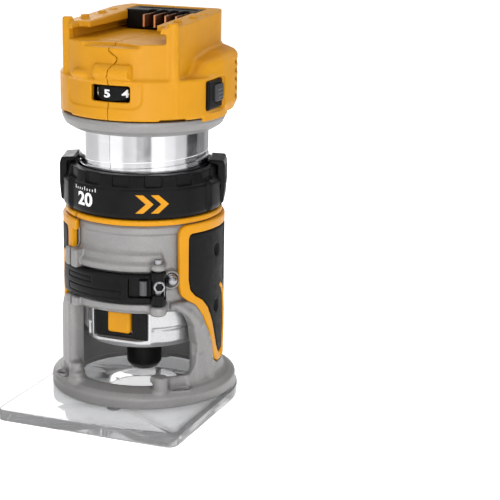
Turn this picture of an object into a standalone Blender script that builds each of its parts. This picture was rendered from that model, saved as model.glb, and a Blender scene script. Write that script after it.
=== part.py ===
"""Cordless trim router on its fixed base, without its battery.

Sizes are in millimetres and are turned into metres as each mesh is made. Heights are measured
from the underside of the sub-base, and plan positions from the spindle axis. The front of the
tool, with the speed dial and the bit window, faces -Y. Angles are in degrees about +Z, with 0
along +X, so the front is at -90.
"""

import math

import bmesh
import bpy
from mathutils import Matrix, Vector

MM = 0.001
GAP = 0.3  # running and assembly clearance between neighbouring pieces
ROUND = 40  # sides of a large round piece
SMALL_ROUND = 12  # sides of a screw, pin or small hole

# Sub-base
SUB_BASE_THICKNESS = 6.0
SUB_BASE_RADIUS = 51.5
SUB_BASE_FRONT = -75.0
SUB_BASE_CORNER = 6.0
SUB_BASE_OPENING = 19.5
SUB_BASE_SCREW_CIRCLE = 45.0
SUB_BASE_SCREW_ANGLES = (30, 100, 170, -86)

# Fixed base
FOOT_RADIUS = 50.2
FOOT_INNER_RADIUS = 38.8
FOOT_TOP = 17.0
COLLAR_BORE = 34.9
COLLAR_RADIUS = 39.5
COLLAR_BOTTOM = 56.0
COLLAR_TOP = 103.0
LEG_INNER_RADIUS = 36.5
LEG_RADIUS = 43.2
WINDOW_LEFT = -126.6
WINDOW_RIGHT = -24.0
SLIT_ANGLE = -124.0
GUIDE_ANGLE = 84.0
GUIDE_HEIGHT = 98.0
RIDGE_END = -50.0
UPPER_LUG = (78.3, 87.2)
LOWER_LUG = (56.2, 61.7)
LUG_RADIUS = 4.6
BOLT_ANGLE = -45.5
BOLT_HEIGHT = 74.0
POST_PLACES = ((-21.3, -38.5), (25.7, -35.7))

# Grips and their edging
GRIP_INNER_RADIUS = 39.9
GRIP_RADIUS = 43.4
TRIM_WIDTH = 3.0
TRIM_STRIPE_TOP = 102.8
RIGHT_GRIP_EDGE = -39.0
LEFT_GRIP_EDGE = -125.8
STRIPE_SPAN = 8.0
GRIP_SPAN = 102.0
GRIP_TOE_HEIGHT = 25.0
GRIP_HEEL_HEIGHT = 61.0
GRIP_SWEEP = 36.0
GRIP_STEP = 6.0
LEVER_NOTCH = 14.0
RIGHT_JAMB_SWEEP = 16.5
JAMB_START = -5.0

# Clamping lever
LEVER_BOTTOM = 62.0
LEVER_TOP = 78.0
LEVER_INNER_RADIUS = 41.0
LEVER_RADIUS = 45.0
LEVER_FREE_END = -137.0
LEVER_PIVOT = (25.2, -37.3)
LEVER_EYE_RADIUS = 4.2
LEVER_PIN_RADIUS = 1.8
ROLLER_PLACE = (44.2, -65.5)  # radius and angle
ROLLER_HEIGHTS = (67.6, 75.2)
ROLLER_RADIUS = 2.5

# Depth ring and quick-release tabs
RING_BORE = 35.3
RING_RADIUS = 41.4
RING_BOTTOM = 106.4
RING_TOP = 129.4
RING_SHOULDER_RADIUS = 43.6
RING_SHOULDER_SPAN = 32.0
TAB_ANGLES = {"right": 19.0, "left": -161.0}
TAB_HALF_WIDTH = 10.6
TAB_PIVOT_RADIUS = 40.0
TAB_PIVOT_HEIGHT = 119.0
TAB_PIN_RADIUS = 1.3
TAB_PIN_REACH = 12.6
TAB_FINGER_TIP = 33.9
TAB_FINGER_THICKNESS = 1.8
TAB_FINGER_TURNS = {"right": -1, "left": 0}

# Motor
BARREL_RADIUS = 34.5
BARREL_BORE = 31.3
BARREL_BOTTOM = 58.3
FLANGE_BOTTOM = 149.0
FLANGE_TOP = 157.3
GROOVE_PITCH = 10.0
GROOVE_REFERENCE = (-67.0, 133.4)  # angle and height of one point on the groove's middle
GROOVE_FIRST_ANGLE = -1835.0
GROOVE_LAST_ANGLE = 170.0
GROOVE_WIDTH = 3.4
GROOVE_DEPTH = 0.9
KEYWAY_RADIUS = 32.3
KEYWAY_WIDTH = 4.2
NOSE_BOTTOM = 34.5
LOCK_BUTTON_MIDDLE = 1.5
LOCK_AXIS_HEIGHT = 49.0
SPINDLE_RADIUS = 5.0
COLLET_BORE = 3.2
BEARING_OUTER_RADIUS = 15.0
WORK_LIGHT_ANGLES = {"left": -134.0, "right": 46.0}

# Head
HEAD_BOTTOM = 157.8
HEAD_RADIUS = 44.0
HEAD_FLANK = 42.5
HEAD_BLOCK = 45.0
HEAD_BACK = 42.0
HEAD_CORNER = 30.0
HEAD_SHOULDER = 192.0
CAVITY_RADIUS = 40.5
RECEPTACLE_HALF_WIDTH = 32.0
RECEPTACLE_BACK = 41.5
BAY_BACK = 37.0
RECEPTACLE_TOP = 208.0
RECEPTACLE_FLOOR = 196.5
RAIL_HALF_WIDTH = 27.0
RAIL_TOP = 201.5
RAIL_MOUTH_HALF_WIDTH = 18.5
DIAL_CENTRE = (0.9, -33.2)
DIAL_RADIUS = 10.5
SWITCH_SPAN = (-15.8, 5.0)
SWITCH_HEIGHTS = (163.0, 176.0)
VENT_HEIGHTS = (166.0, 170.0, 174.0)
VENT_WIDTH = 1.8
SCREW_PLACES = ((34, 165, -32), (34, 187, -32), (-22, 187, -31.3), (34, 176, -32))  # y, z, seat x
BLADE_PLACES = (-4.4, 1.8, 8.0, 14.2)

# The box of the whole tool is centred on the world origin, so the spindle stands behind it.
SPINDLE_OFFSET = -(SUB_BASE_FRONT + SUB_BASE_RADIUS) / 2

FINISHES = {  # base colour, metallic, roughness
    "yellow_plastic": ((0.83, 0.39, 0.02), 0.0, 0.42),
    "black_plastic": ((0.015, 0.015, 0.016), 0.0, 0.45),
    "black_rubber": ((0.012, 0.012, 0.012), 0.0, 0.75),
    "grey_plastic": ((0.16, 0.16, 0.17), 0.0, 0.5),
    "cast_aluminium": ((0.42, 0.41, 0.40), 0.7, 0.5),
    "bright_aluminium": ((0.80, 0.80, 0.82), 1.0, 0.22),
    "steel": ((0.55, 0.55, 0.57), 1.0, 0.3),
    "copper": ((0.75, 0.35, 0.18), 1.0, 0.3),
    "board_green": ((0.02, 0.12, 0.05), 0.0, 0.5),
    "clear_plastic": ((0.9, 0.92, 0.93), 0.0, 0.08),
    "white_lens": ((0.9, 0.9, 0.85), 0.0, 0.2),
}


# ---------------------------------------------------------------------------------------------
# Shapes, each a closed bmesh in millimetres
# ---------------------------------------------------------------------------------------------

def around(radius, angle):
    turn = math.radians(angle)
    return radius * math.cos(turn), radius * math.sin(turn)


def arc(centre, radius, start, end, count):
    """Points on an arc from one angle to another, both included."""
    step = (end - start) / count
    points = (around(radius, start + step * i) for i in range(count + 1))
    return [(centre[0] + x, centre[1] + y) for x, y in points]


def prism(outline, bottom, top):
    shape = bmesh.new()
    low = [shape.verts.new((x, y, bottom)) for x, y in outline]
    high = [shape.verts.new((x, y, top)) for x, y in outline]
    shape.faces.new(list(reversed(low)))
    shape.faces.new(high)
    for i in range(len(outline)):
        j = (i + 1) % len(outline)
        shape.faces.new((low[i], low[j], high[j], high[i]))
    return shape


def box(x, y, z):
    outline = [(x[0], y[0]), (x[1], y[0]), (x[1], y[1]), (x[0], y[1])]
    return prism(outline, z[0], z[1])


def turned(profile, segments=ROUND):
    """Spins a closed (radius, height) outline, listed anticlockwise, about the Z axis."""
    shape = bmesh.new()
    rings = []
    for radius, height in profile:
        if radius == 0:
            rings.append([shape.verts.new((0, 0, height))] * segments)
            continue
        turns = (around(radius, 360 * i / segments) for i in range(segments))
        rings.append([shape.verts.new((x, y, height)) for x, y in turns])
    for a, b in zip(rings, rings[1:] + rings[:1]):
        for i in range(segments):
            j = (i + 1) % segments
            corners = list(dict.fromkeys((a[i], a[j], b[j], b[i])))
            if len(corners) > 2:
                shape.faces.new(corners)
    return shape


def disc(radius, bottom, top, segments=24):
    return turned([(0, bottom), (radius, bottom), (radius, top), (0, top)], segments)


def tube(bore, radius, bottom, top, segments=ROUND):
    return turned([(bore, bottom), (radius, bottom), (radius, top), (bore, top)], segments)


def laid_along(shape, start, end):
    """Moves a shape drawn up the Z axis so that it starts at one point and runs to another."""
    start, end = Vector(start), Vector(end)
    turn = (end - start).to_track_quat("Z", "Y").to_matrix().to_4x4()
    shape.transform(Matrix.Translation(start) @ turn)
    return shape


def rod(start, end, radius, segments=SMALL_ROUND):
    """A round bar between two points."""
    length = (Vector(end) - Vector(start)).length
    return laid_along(disc(radius, 0, length, segments), start, end)


def headed_rod(start, end, head_radius, head_length, radius):
    """A screw's shape: a head, then a thinner shank to the end point."""
    length = (Vector(end) - Vector(start)).length
    profile = [(0, 0), (head_radius, 0), (head_radius, head_length), (radius, head_length),
               (radius, length), (0, length)]
    return laid_along(turned(profile, SMALL_ROUND), start, end)


def swept(sections):
    """Joins a run of equal cross-sections into one closed bar. Its warped sides are split."""
    shape = bmesh.new()
    rows = [[shape.verts.new(corner) for corner in section] for section in sections]
    shape.faces.new(rows[0])
    shape.faces.new(list(reversed(rows[-1])))
    sides = []
    for a, b in zip(rows, rows[1:]):
        for i in range(len(a)):
            j = (i + 1) % len(a)
            sides.append(shape.faces.new((a[j], a[i], b[i], b[j])))
    warped = [face for face in sides if not is_flat(face)]
    bmesh.ops.triangulate(shape, faces=warped)
    return shape


def is_flat(face):
    a, b, c, d = (vert.co for vert in face.verts)
    return abs((b - a).cross(c - a).dot(d - a)) < 1e-4


def curved_band(columns, inner, outer):
    """A plate wrapped round the axis. Each column is (angle, bottom, top)."""
    sections = []
    for angle, bottom, top in columns:
        near, far = around(inner, angle), around(outer, angle)
        sections.append(((*near, bottom), (*far, bottom), (*far, top), (*near, top)))
    return swept(sections)


def sector(inner, outer, start, end, bottom, top, step=9.3):
    count = max(1, round((end - start) / step))
    angles = [start + (end - start) * i / count for i in range(count + 1)]
    return curved_band([(angle, bottom, top) for angle in angles], inner, outer)


def turned_to(shape, angle):
    """Turns a shape drawn with +X as its outward direction so that it faces an angle."""
    shape.transform(Matrix.Rotation(math.radians(angle), 4, "Z"))
    return shape


# ---------------------------------------------------------------------------------------------
# Bodies, materials and nodes
# ---------------------------------------------------------------------------------------------

def make_material(name, finish):
    colour, metallic, roughness = FINISHES[finish]
    material = bpy.data.materials.new(name)
    material.use_nodes = True
    shader = material.node_tree.nodes["Principled BSDF"]
    shader.inputs["Base Color"].default_value = (*colour, 1)
    shader.inputs["Metallic"].default_value = metallic
    shader.inputs["Roughness"].default_value = roughness
    if finish == "clear_plastic":
        shader.inputs["Transmission Weight"].default_value = 1.0
    material.diffuse_color = (*colour, 1)
    return material


def make_body(name, position=(0, 0, 0)):
    """An empty on a body's joint axis. The position is in millimetres from the spindle axis."""
    empty = bpy.data.objects.new(name, None)
    bpy.context.collection.objects.link(empty)
    x, y, z = position
    empty.location = (x * MM, (y + SPINDLE_OFFSET) * MM, z * MM)
    empty["offset"] = list(position)
    return empty


def place(name, shape, body):
    """Turns a bmesh in millimetres into an object whose origin is its body's joint axis."""
    shape.transform(Matrix.Translation(-Vector(body["offset"])))
    shape.transform(Matrix.Scale(MM, 4))
    bmesh.ops.recalc_face_normals(shape, faces=shape.faces)
    mesh = bpy.data.meshes.new(name)
    shape.to_mesh(mesh)
    shape.free()
    made = bpy.data.objects.new(name, mesh)
    bpy.context.collection.objects.link(made)
    made.parent = body
    return made


def node(name, shape, body, finish, joins=(), cuts=()):
    """A named piece, with shapes joined to it and then shapes cut out of it."""
    made = place(name, shape, body)
    made.data.materials.append(make_material(name, finish))
    steps = [("UNION", join) for join in joins] + [("DIFFERENCE", cut) for cut in cuts]
    for number, (operation, other) in enumerate(steps):
        tool = place(f"{name}_tool_{number}", other, body)
        tool.hide_render = True
        tool.display_type = "WIRE"
        change = made.modifiers.new(f"{operation.lower()}_{number}", "BOOLEAN")
        change.operation = operation
        change.solver = "EXACT"
        change.object = tool
    made.data.shade_smooth()
    made.data.set_sharp_from_angle(angle=math.radians(30))
    return made


# ---------------------------------------------------------------------------------------------
# Fixed base
# ---------------------------------------------------------------------------------------------

def outline_point(sweep):
    """Height of the edging's outer edge, a smooth fall from the heel to the toe."""
    fall = min(sweep / GRIP_SWEEP, 1.0)
    share = (1 + math.cos(math.pi * fall)) / 2
    return GRIP_TOE_HEIGHT + (GRIP_HEEL_HEIGHT - GRIP_TOE_HEIGHT) * share


def grip_outline(sweep):
    """The same height on straight runs between steps, which the pieces either side share."""
    before = math.floor(sweep / GRIP_STEP) * GRIP_STEP
    share = (sweep - before) / GRIP_STEP
    return outline_point(before) * (1 - share) + outline_point(before + GRIP_STEP) * share


def grip_angle(side, sweep):
    return RIGHT_GRIP_EDGE + sweep if side == "right" else LEFT_GRIP_EDGE - sweep


def outline_at(side, sweep):
    """Where the edging's outer edge runs. On the left it steps up over the lever's free end."""
    if side == "left" and sweep < LEVER_NOTCH:
        return LEVER_TOP + 1.4
    return grip_outline(sweep)


def grip_columns(side, sweeps, low, high):
    columns = [(grip_angle(side, sweep), low(sweep), high(sweep)) for sweep in sweeps]
    return columns if side == "right" else columns[::-1]


def grip_sweeps(start, *breaks):
    """Sweeps from a start to the grip's far end, with a close pair at each break."""
    steps = (GRIP_STEP * i for i in range(round(GRIP_SPAN / GRIP_STEP) + 1))
    pairs = [place + shift for place in breaks for shift in (-0.6, 0)]
    return sorted({start, *(step for step in steps if step > start), *pairs})


def grip(side, body):
    notch_end = LEVER_NOTCH + TRIM_WIDTH + 0.9

    def low(sweep):
        edge = outline_at(side, 0 if side == "left" and sweep < notch_end else sweep)
        return edge + TRIM_WIDTH + 2 * GAP

    breaks = [notch_end] if side == "left" else []
    columns = grip_columns(side, grip_sweeps(STRIPE_SPAN + 0.5, *breaks), low,
                           lambda sweep: TRIM_STRIPE_TOP)
    node(f"grip_{side}", curved_band(columns, GRIP_INNER_RADIUS, GRIP_RADIUS), body,
         "black_rubber")


def grip_trim(side, body):
    notch_end = LEVER_NOTCH + TRIM_WIDTH

    def high(sweep):
        if sweep < STRIPE_SPAN:
            return TRIM_STRIPE_TOP
        edge = outline_at(side, 0 if side == "left" and sweep < notch_end else sweep)
        return edge + TRIM_WIDTH

    breaks = [STRIPE_SPAN] + ([LEVER_NOTCH, notch_end] if side == "left" else [])
    columns = grip_columns(side, grip_sweeps(0, *breaks),
                           lambda sweep: outline_at(side, sweep), high)
    node(f"grip_trim_{side}", curved_band(columns, GRIP_INNER_RADIUS, GRIP_RADIUS), body,
         "yellow_plastic")


def casting_skin(side):
    """The part of the leg below a grip, out to the leg's full radius."""
    window_edge = LEVER_NOTCH + 0.3 if side == "left" else RIGHT_JAMB_SWEEP

    def low(sweep):
        return 11 if side == "left" or sweep >= window_edge else 55 - 0.8 * (sweep - JAMB_START)

    def high(sweep):
        return min(grip_outline(max(sweep, 0)) - GAP, 60)

    start = window_edge if side == "left" else JAMB_START
    sweeps = grip_sweeps(start, *([] if side == "left" else [window_edge]))
    return curved_band(grip_columns(side, sweeps, low, high), LEG_INNER_RADIUS + 1, LEG_RADIUS)


def post(place):
    """A stout post on the foot, beside the bit window."""
    shape = disc(4.5, 9, 23, SMALL_ROUND)
    shape.transform(Matrix.Translation((*place, 0)))
    return shape


def screw_spots(radius, angles):
    return [around(radius, angle) for angle in angles]


def hinge_lug(bottom, top):
    """A lug that carries the lever's pin and runs back into the collar."""
    x, y = LEVER_PIVOT
    away = math.degrees(math.atan2(y, x))
    nose = arc((math.hypot(x, y), 0), LUG_RADIUS, -90, 90, 8)
    outline = [(37.5, -LUG_RADIUS), *nose, (37.5, LUG_RADIUS)]
    return turned_to(prism(outline, bottom, top), away)


def base_casting(body):
    foot = turned([
        (FOOT_INNER_RADIUS, SUB_BASE_THICKNESS + GAP), (FOOT_RADIUS, SUB_BASE_THICKNESS + GAP),
        (FOOT_RADIUS, 12.5), (40.5, FOOT_TOP), (FOOT_INNER_RADIUS, FOOT_TOP)])
    collar = tube(COLLAR_BORE, COLLAR_RADIUS, COLLAR_BOTTOM, COLLAR_TOP)
    leg = sector(LEG_INNER_RADIUS, COLLAR_RADIUS - 0.2, WINDOW_RIGHT, WINDOW_LEFT + 360,
                 12, COLLAR_BOTTOM + 2)
    leg_flare = sector(38.2, LEG_RADIUS, WINDOW_RIGHT + 1, WINDOW_LEFT + 359, 10,
                       GRIP_TOE_HEIGHT - 3)
    spine = sector(38.5, 42.0, RIGHT_GRIP_EDGE + GRIP_SPAN + 1,
                   LEFT_GRIP_EDGE + 360 - GRIP_SPAN - 1, 20, COLLAR_TOP - 1)
    upper_ridge = sector(38.5, 43.2, SLIT_ANGLE - 1, RIDGE_END, 80, 87)
    lower_lip = sector(38.5, 43.0, SLIT_ANGLE - 1, RIDGE_END, 56.5, 61.5)
    left_jamb = sector(37.0, 42.6, WINDOW_LEFT - 12.6, WINDOW_LEFT + 0.7, 14, 55)
    joins = [collar, leg, leg_flare, casting_skin("left"), casting_skin("right"), spine,
             upper_ridge, lower_lip, left_jamb, *(post(place) for place in POST_PLACES),
             hinge_lug(*LOWER_LUG), hinge_lug(*UPPER_LUG)]
    slit = turned_to(box((30, 52), (-0.9, 0.9), (50, 110)), SLIT_ANGLE)
    pin_hole = rod((*LEVER_PIVOT, 57.5), (*LEVER_PIVOT, 95), LEVER_PIN_RADIUS + GAP)
    guide_hole = turned_to(rod((30, 0, GUIDE_HEIGHT), (44, 0, GUIDE_HEIGHT), 1.9), GUIDE_ANGLE)
    stop_hole = turned_to(rod((37.4, 0, BOLT_HEIGHT), (50, 0, BOLT_HEIGHT), 3.4), BOLT_ANGLE)
    cuts = [slit, pin_hole, guide_hole, stop_hole]
    for x, y in screw_spots(SUB_BASE_SCREW_CIRCLE, SUB_BASE_SCREW_ANGLES):
        cuts.append(rod((x, y, 0), (x, y, 11.5), 2.1))
    node("base_casting", foot, body, "cast_aluminium", joins, cuts)


def sub_base(body):
    corner = SUB_BASE_RADIUS - SUB_BASE_CORNER
    front = SUB_BASE_FRONT + SUB_BASE_CORNER
    outline = (arc((-corner, front), SUB_BASE_CORNER, 180, 270, 6)
               + arc((corner, front), SUB_BASE_CORNER, -90, 0, 6)
               + arc((0, 0), SUB_BASE_RADIUS, 0, 180, 36))
    cuts = [disc(SUB_BASE_OPENING, -1, SUB_BASE_THICKNESS + 1, 36)]
    for x, y in screw_spots(SUB_BASE_SCREW_CIRCLE, SUB_BASE_SCREW_ANGLES):
        seat = turned([(0, -1), (4.3, -1), (4.3, 1.8), (2.1, 4), (2.1, 8), (0, 8)], SMALL_ROUND)
        seat.transform(Matrix.Translation((x, y, 0)))
        cuts.append(seat)
    node("sub_base", prism(outline, 0, SUB_BASE_THICKNESS), body, "clear_plastic", cuts=cuts)
    for number, (x, y) in enumerate(screw_spots(SUB_BASE_SCREW_CIRCLE, SUB_BASE_SCREW_ANGLES), 1):
        profile = [(0, 0.6), (3.9, 0.6), (3.9, 1.7), (1.75, 3.9), (1.75, 11.2), (0, 11.2)]
        screw = turned(profile, SMALL_ROUND)
        screw.transform(Matrix.Translation((x, y, 0)))
        node(f"sub_base_screw_{number}", screw, body, "steel")


def base_fittings(body):
    collar_band = tube(COLLAR_RADIUS + 0.4, 42.0, COLLAR_TOP + GAP, RING_BOTTOM - 0.4)
    slit = turned_to(box((30, 52), (-0.9, 0.9), (100, 110)), SLIT_ANGLE)
    node("collar_band", collar_band, body, "yellow_plastic", cuts=[slit])
    pin = rod((*LEVER_PIVOT, 57.9), (*LEVER_PIVOT, 86.4), LEVER_PIN_RADIUS)
    node("lever_pin", pin, body, "steel")
    guide = turned_to(rod((33.2, 0, GUIDE_HEIGHT), (40.6, 0, GUIDE_HEIGHT), 1.5), GUIDE_ANGLE)
    node("guide_pin", guide, body, "steel")
    bolt = turned_to(rod((37.8, 0, BOLT_HEIGHT), (41.6, 0, BOLT_HEIGHT), 3.0), BOLT_ANGLE)
    socket = turned_to(rod((40, 0, BOLT_HEIGHT), (45, 0, BOLT_HEIGHT), 1.6, 6), BOLT_ANGLE)
    node("tension_bolt", bolt, body, "steel", cuts=[socket])


def clamp_lever(body):
    blade = sector(LEVER_INNER_RADIUS, LEVER_RADIUS, LEVER_FREE_END, -58, LEVER_BOTTOM, LEVER_TOP,
                   5)
    eye = rod((*LEVER_PIVOT, LEVER_BOTTOM), (*LEVER_PIVOT, LEVER_TOP), LEVER_EYE_RADIUS)
    bore = rod((*LEVER_PIVOT, 50), (*LEVER_PIVOT, 90), LEVER_PIN_RADIUS + GAP)
    place = around(*ROLLER_PLACE)
    low, high = ROLLER_HEIGHTS
    slot = rod((*place, low - 0.4), (*place, high + 0.4), ROLLER_RADIUS + 0.4)
    roller = rod((*place, low), (*place, high), ROLLER_RADIUS)
    node("clamp_lever", blade, body, "black_plastic", [eye], [bore, slot])
    node("lever_roller", roller, body, "grey_plastic")


# ---------------------------------------------------------------------------------------------
# Depth ring
# ---------------------------------------------------------------------------------------------

def groove_height(angle):
    reference_angle, reference_height = GROOVE_REFERENCE
    return reference_height + (angle - reference_angle) / 360 * GROOVE_PITCH


def depth_ring(body):
    ring = turned([(RING_BORE, RING_BOTTOM), (RING_RADIUS, RING_BOTTOM), (RING_RADIUS, 123.3),
                   (RING_RADIUS - 1.4, RING_TOP), (RING_BORE, RING_TOP)])
    joins, cuts = [], []
    for side, angle in TAB_ANGLES.items():
        joins.append(sector(38.2, RING_SHOULDER_RADIUS, angle - RING_SHOULDER_SPAN,
                            angle + RING_SHOULDER_SPAN, 107.2, 127))
        pocket = box((36.9, 52), (-TAB_HALF_WIDTH - 0.4, TAB_HALF_WIDTH + 0.4), (108, 140))
        cuts.append(turned_to(pocket, angle))
        notch = box((34, 37.5), (-2, 2), (finger_height(side) - 1.6, 135))
        cuts.append(turned_to(notch, angle))
        cuts.append(turned_to(tab_rod(TAB_PIN_REACH, TAB_PIN_RADIUS + GAP), angle))
        pin = tab_rod(TAB_PIN_REACH - 0.4, TAB_PIN_RADIUS)
        node(f"tab_pin_{side}", turned_to(pin, angle), body, "steel")
    node("depth_ring", ring, body, "black_plastic", joins, cuts)


def finger_height(side):
    """Where a tab's finger meets the depth groove, on the turn that the tab reaches."""
    return groove_height(TAB_ANGLES[side]) + TAB_FINGER_TURNS[side] * GROOVE_PITCH


def tab_rod(reach, radius):
    """A round bar along a tab's pivot, drawn for a tab that faces +X."""
    start, end = ((TAB_PIVOT_RADIUS, y, TAB_PIVOT_HEIGHT) for y in (-reach, reach))
    return rod(start, end, radius)


def release_tab(side, body):
    angle = TAB_ANGLES[side]
    outline = [(39.4, 108.8), (43.3, 109.6), (44.0, 119), (43.8, 129.4), (42.8, 132.2),
               (36.2, 132.8), (35.3, 132.2), (35.3, 129.8), (38.6, 129.8), (37.6, 121)]
    slab = swept([[(x, y, z) for x, z in outline] for y in (-TAB_HALF_WIDTH, TAB_HALF_WIDTH)])
    finger_low = finger_height(side) - TAB_FINGER_THICKNESS / 2
    finger = box((TAB_FINGER_TIP, 39), (-1.5, 1.5), (finger_low, finger_low + TAB_FINGER_THICKNESS))
    bore = tab_rod(TAB_PIN_REACH + 4, TAB_PIN_RADIUS + GAP)
    node(f"release_tab_{side}", turned_to(slab, angle), body, "black_plastic",
         [turned_to(finger, angle)], [turned_to(bore, angle)])


# ---------------------------------------------------------------------------------------------
# Motor
# ---------------------------------------------------------------------------------------------

def helical_groove():
    """A cutter that follows the depth groove round the barrel."""
    steps = round((GROOVE_LAST_ANGLE - GROOVE_FIRST_ANGLE) / 15)
    columns = []
    for i in range(steps + 1):
        angle = GROOVE_FIRST_ANGLE + (GROOVE_LAST_ANGLE - GROOVE_FIRST_ANGLE) * i / steps
        middle = groove_height(angle)
        columns.append((angle, middle - GROOVE_WIDTH / 2, middle + GROOVE_WIDTH / 2))
    return curved_band(columns, BARREL_RADIUS - GROOVE_DEPTH, BARREL_RADIUS + 1.5)


def motor_barrel(body):
    barrel = turned([
        (BARREL_BORE, BARREL_BOTTOM), (BARREL_RADIUS, BARREL_BOTTOM),
        (BARREL_RADIUS, FLANGE_BOTTOM), (37.5, FLANGE_BOTTOM), (43.2, 155), (43.2, FLANGE_TOP),
        (11.3, FLANGE_TOP), (11.3, 147), (14, 147), (14, 151), (BARREL_BORE, 151)])
    across = (-KEYWAY_WIDTH / 2, KEYWAY_WIDTH / 2)
    keyway = turned_to(box((KEYWAY_RADIUS, 40), across, (50, 147)), GUIDE_ANGLE)
    node("motor_barrel", barrel, body, "bright_aluminium", cuts=[helical_groove(), keyway])


def nose_housing(body):
    nose = turned([
        (13.5, 36), (13.5, 50), (29.5, 50), (29.5, NOSE_BOTTOM), (33, NOSE_BOTTOM), (33, 38.5),
        (34.2, 39.5), (34.2, 58), (30.9, 58), (30.9, 66), (15.3, 66), (15.3, 56), (10.3, 56),
        (10.3, 36)])
    front_recess = box((-15.2, 16), (-40, -28.5), (39, 56.5))
    button_way = box((LOCK_BUTTON_MIDDLE - 7, LOCK_BUTTON_MIDDLE + 7), (-40, -13.2), (42.9, 54.9))
    stem_way = rod((0, -20, LOCK_AXIS_HEIGHT), (0, -6, LOCK_AXIS_HEIGHT), 2.7)
    cuts = [front_recess, button_way, stem_way]
    for side, angle in WORK_LIGHT_ANGLES.items():
        cuts.append(turned_to(box((30.4, 40), (-4.3, 4.3), (40.7, 52.3)), angle))
        lens = turned_to(box((30.7, 33.7), (-4, 4), (41, 52)), angle)
        node(f"work_light_{side}", lens, body, "white_lens")
    node("nose_housing", nose, body, "cast_aluminium", cuts=cuts)
    plate = box((-14.5, 15.3), (-31.0, -28.8), (39.5, 55))
    button_hole = box((LOCK_BUTTON_MIDDLE - 6.8, LOCK_BUTTON_MIDDLE + 6.8), (-40, -20), (43, 54.7))
    node("lock_plate", plate, body, "black_plastic", cuts=[button_hole])


def motor_windings(body):
    slots = [turned_to(box((17, 27), (-1.6, 1.6), (60, 130)), 30 + 60 * i) for i in range(6)]
    node("stator", tube(18.6, 31.0, 74, 118, 36), body, "copper", cuts=slots)
    node("upper_bearing", tube(5.3, 11.0, 148, 156, 24), body, "steel")
    node("lower_bearing", tube(6.3, BEARING_OUTER_RADIUS, 56.4, 65.4, 24), body, "steel")


def spindle_parts(body):
    spindle = turned([
        (4.4, 20), (6.5, 20), (6.5, 38), (8, 38), (8, 43), (9, 43), (9, 55.5), (8, 55.9),
        (8, 56), (6, 56), (6, 67), (SPINDLE_RADIUS, 67), (SPINDLE_RADIUS, 158.5), (0, 158.5),
        (0, 42), (4.4, 40)], 24)
    lock_holes = [rod((-12, 0, LOCK_AXIS_HEIGHT), (12, 0, LOCK_AXIS_HEIGHT), 2.7),
                  rod((0, -12, LOCK_AXIS_HEIGHT), (0, 12, LOCK_AXIS_HEIGHT), 2.7)]
    node("spindle", spindle, body, "steel", cuts=lock_holes)
    node("rotor", tube(5.3, 18.0, 72, 120, 24), body, "steel")
    fan = turned([(5.3, 128), (9, 128), (9, 136), (28, 139), (28, 140.4), (5.3, 140.4)], 24)
    blades = [turned_to(box((8, 27.5), (-0.7, 0.7), (129.5, 139.5)), 40 * i) for i in range(9)]
    node("cooling_fan", fan, body, "black_plastic", blades)
    node("collet", tube(COLLET_BORE, 4.1, 14.6, 38, 24), body, "steel")
    nut = turned([
        (4.6, 14), (7.6, 14), (9.5, 16.2), (9.5, 33), (9, 34), (6.8, 34), (6.8, 19.2),
        (4.6, 19.2)], 24)
    node("collet_nut", nut, body, "black_plastic")


def lock_button(body):
    middle = LOCK_BUTTON_MIDDLE
    button = box((middle - 6.4, middle + 6.4), (-33.3, -23), (43.4, 54.3))
    stem = rod((0, -24, LOCK_AXIS_HEIGHT), (0, -9.6, LOCK_AXIS_HEIGHT), 2.1)
    node("lock_button", button, body, "yellow_plastic", [stem])
    turns, steps, wire = 4, 10, 0.35
    coil, front, back = 2.95, -22.3, -14.0
    sections = []
    for i in range(turns * steps + 1):
        depth = front + (back - front) * i / (turns * steps)
        section = []
        for x, y in arc((0, 0), wire, 0, 270, 3):
            across, up = around(coil + x, 360 * i / steps)
            section.append((across, depth + y, LOCK_AXIS_HEIGHT + up))
        sections.append(section)
    node("lock_spring", swept(sections), body, "steel")


# ---------------------------------------------------------------------------------------------
# Head
# ---------------------------------------------------------------------------------------------

def head_outline():
    """Round at the front, flat at the flanks, and a square-backed block behind."""
    flank_start = -math.degrees(math.acos(HEAD_FLANK / HEAD_RADIUS))
    corner = (HEAD_BLOCK - HEAD_CORNER, HEAD_BACK - HEAD_CORNER)
    right = (arc((0, 0), HEAD_RADIUS, -90, flank_start, 14)
             + [(HEAD_FLANK, 4), (HEAD_BLOCK, 11)]
             + arc(corner, HEAD_CORNER, 0, 90, 8))
    left = [(-x, y) for x, y in reversed(right[1:])]
    return right + left


def head_joins():
    half = RECEPTACLE_HALF_WIDTH
    right = [(half - 6, -26), (half, -20), (half - 0.5, 30), (half - 5, RECEPTACLE_BACK)]
    walls = right + [(-x, y) for x, y in reversed(right)]
    receptacle = prism(walls, HEAD_SHOULDER - 0.6, RECEPTACLE_TOP)
    lip = prism(arc((0, 0), HEAD_RADIUS - 0.4, -122, -58, 12) + [(23, -25), (-23, -25)],
                HEAD_SHOULDER - 0.5, RECEPTACLE_FLOOR)
    hump = rod((-8, -42, 183), (13, -42, 183), 4, 16)
    return [receptacle, lip, hump]


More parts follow.
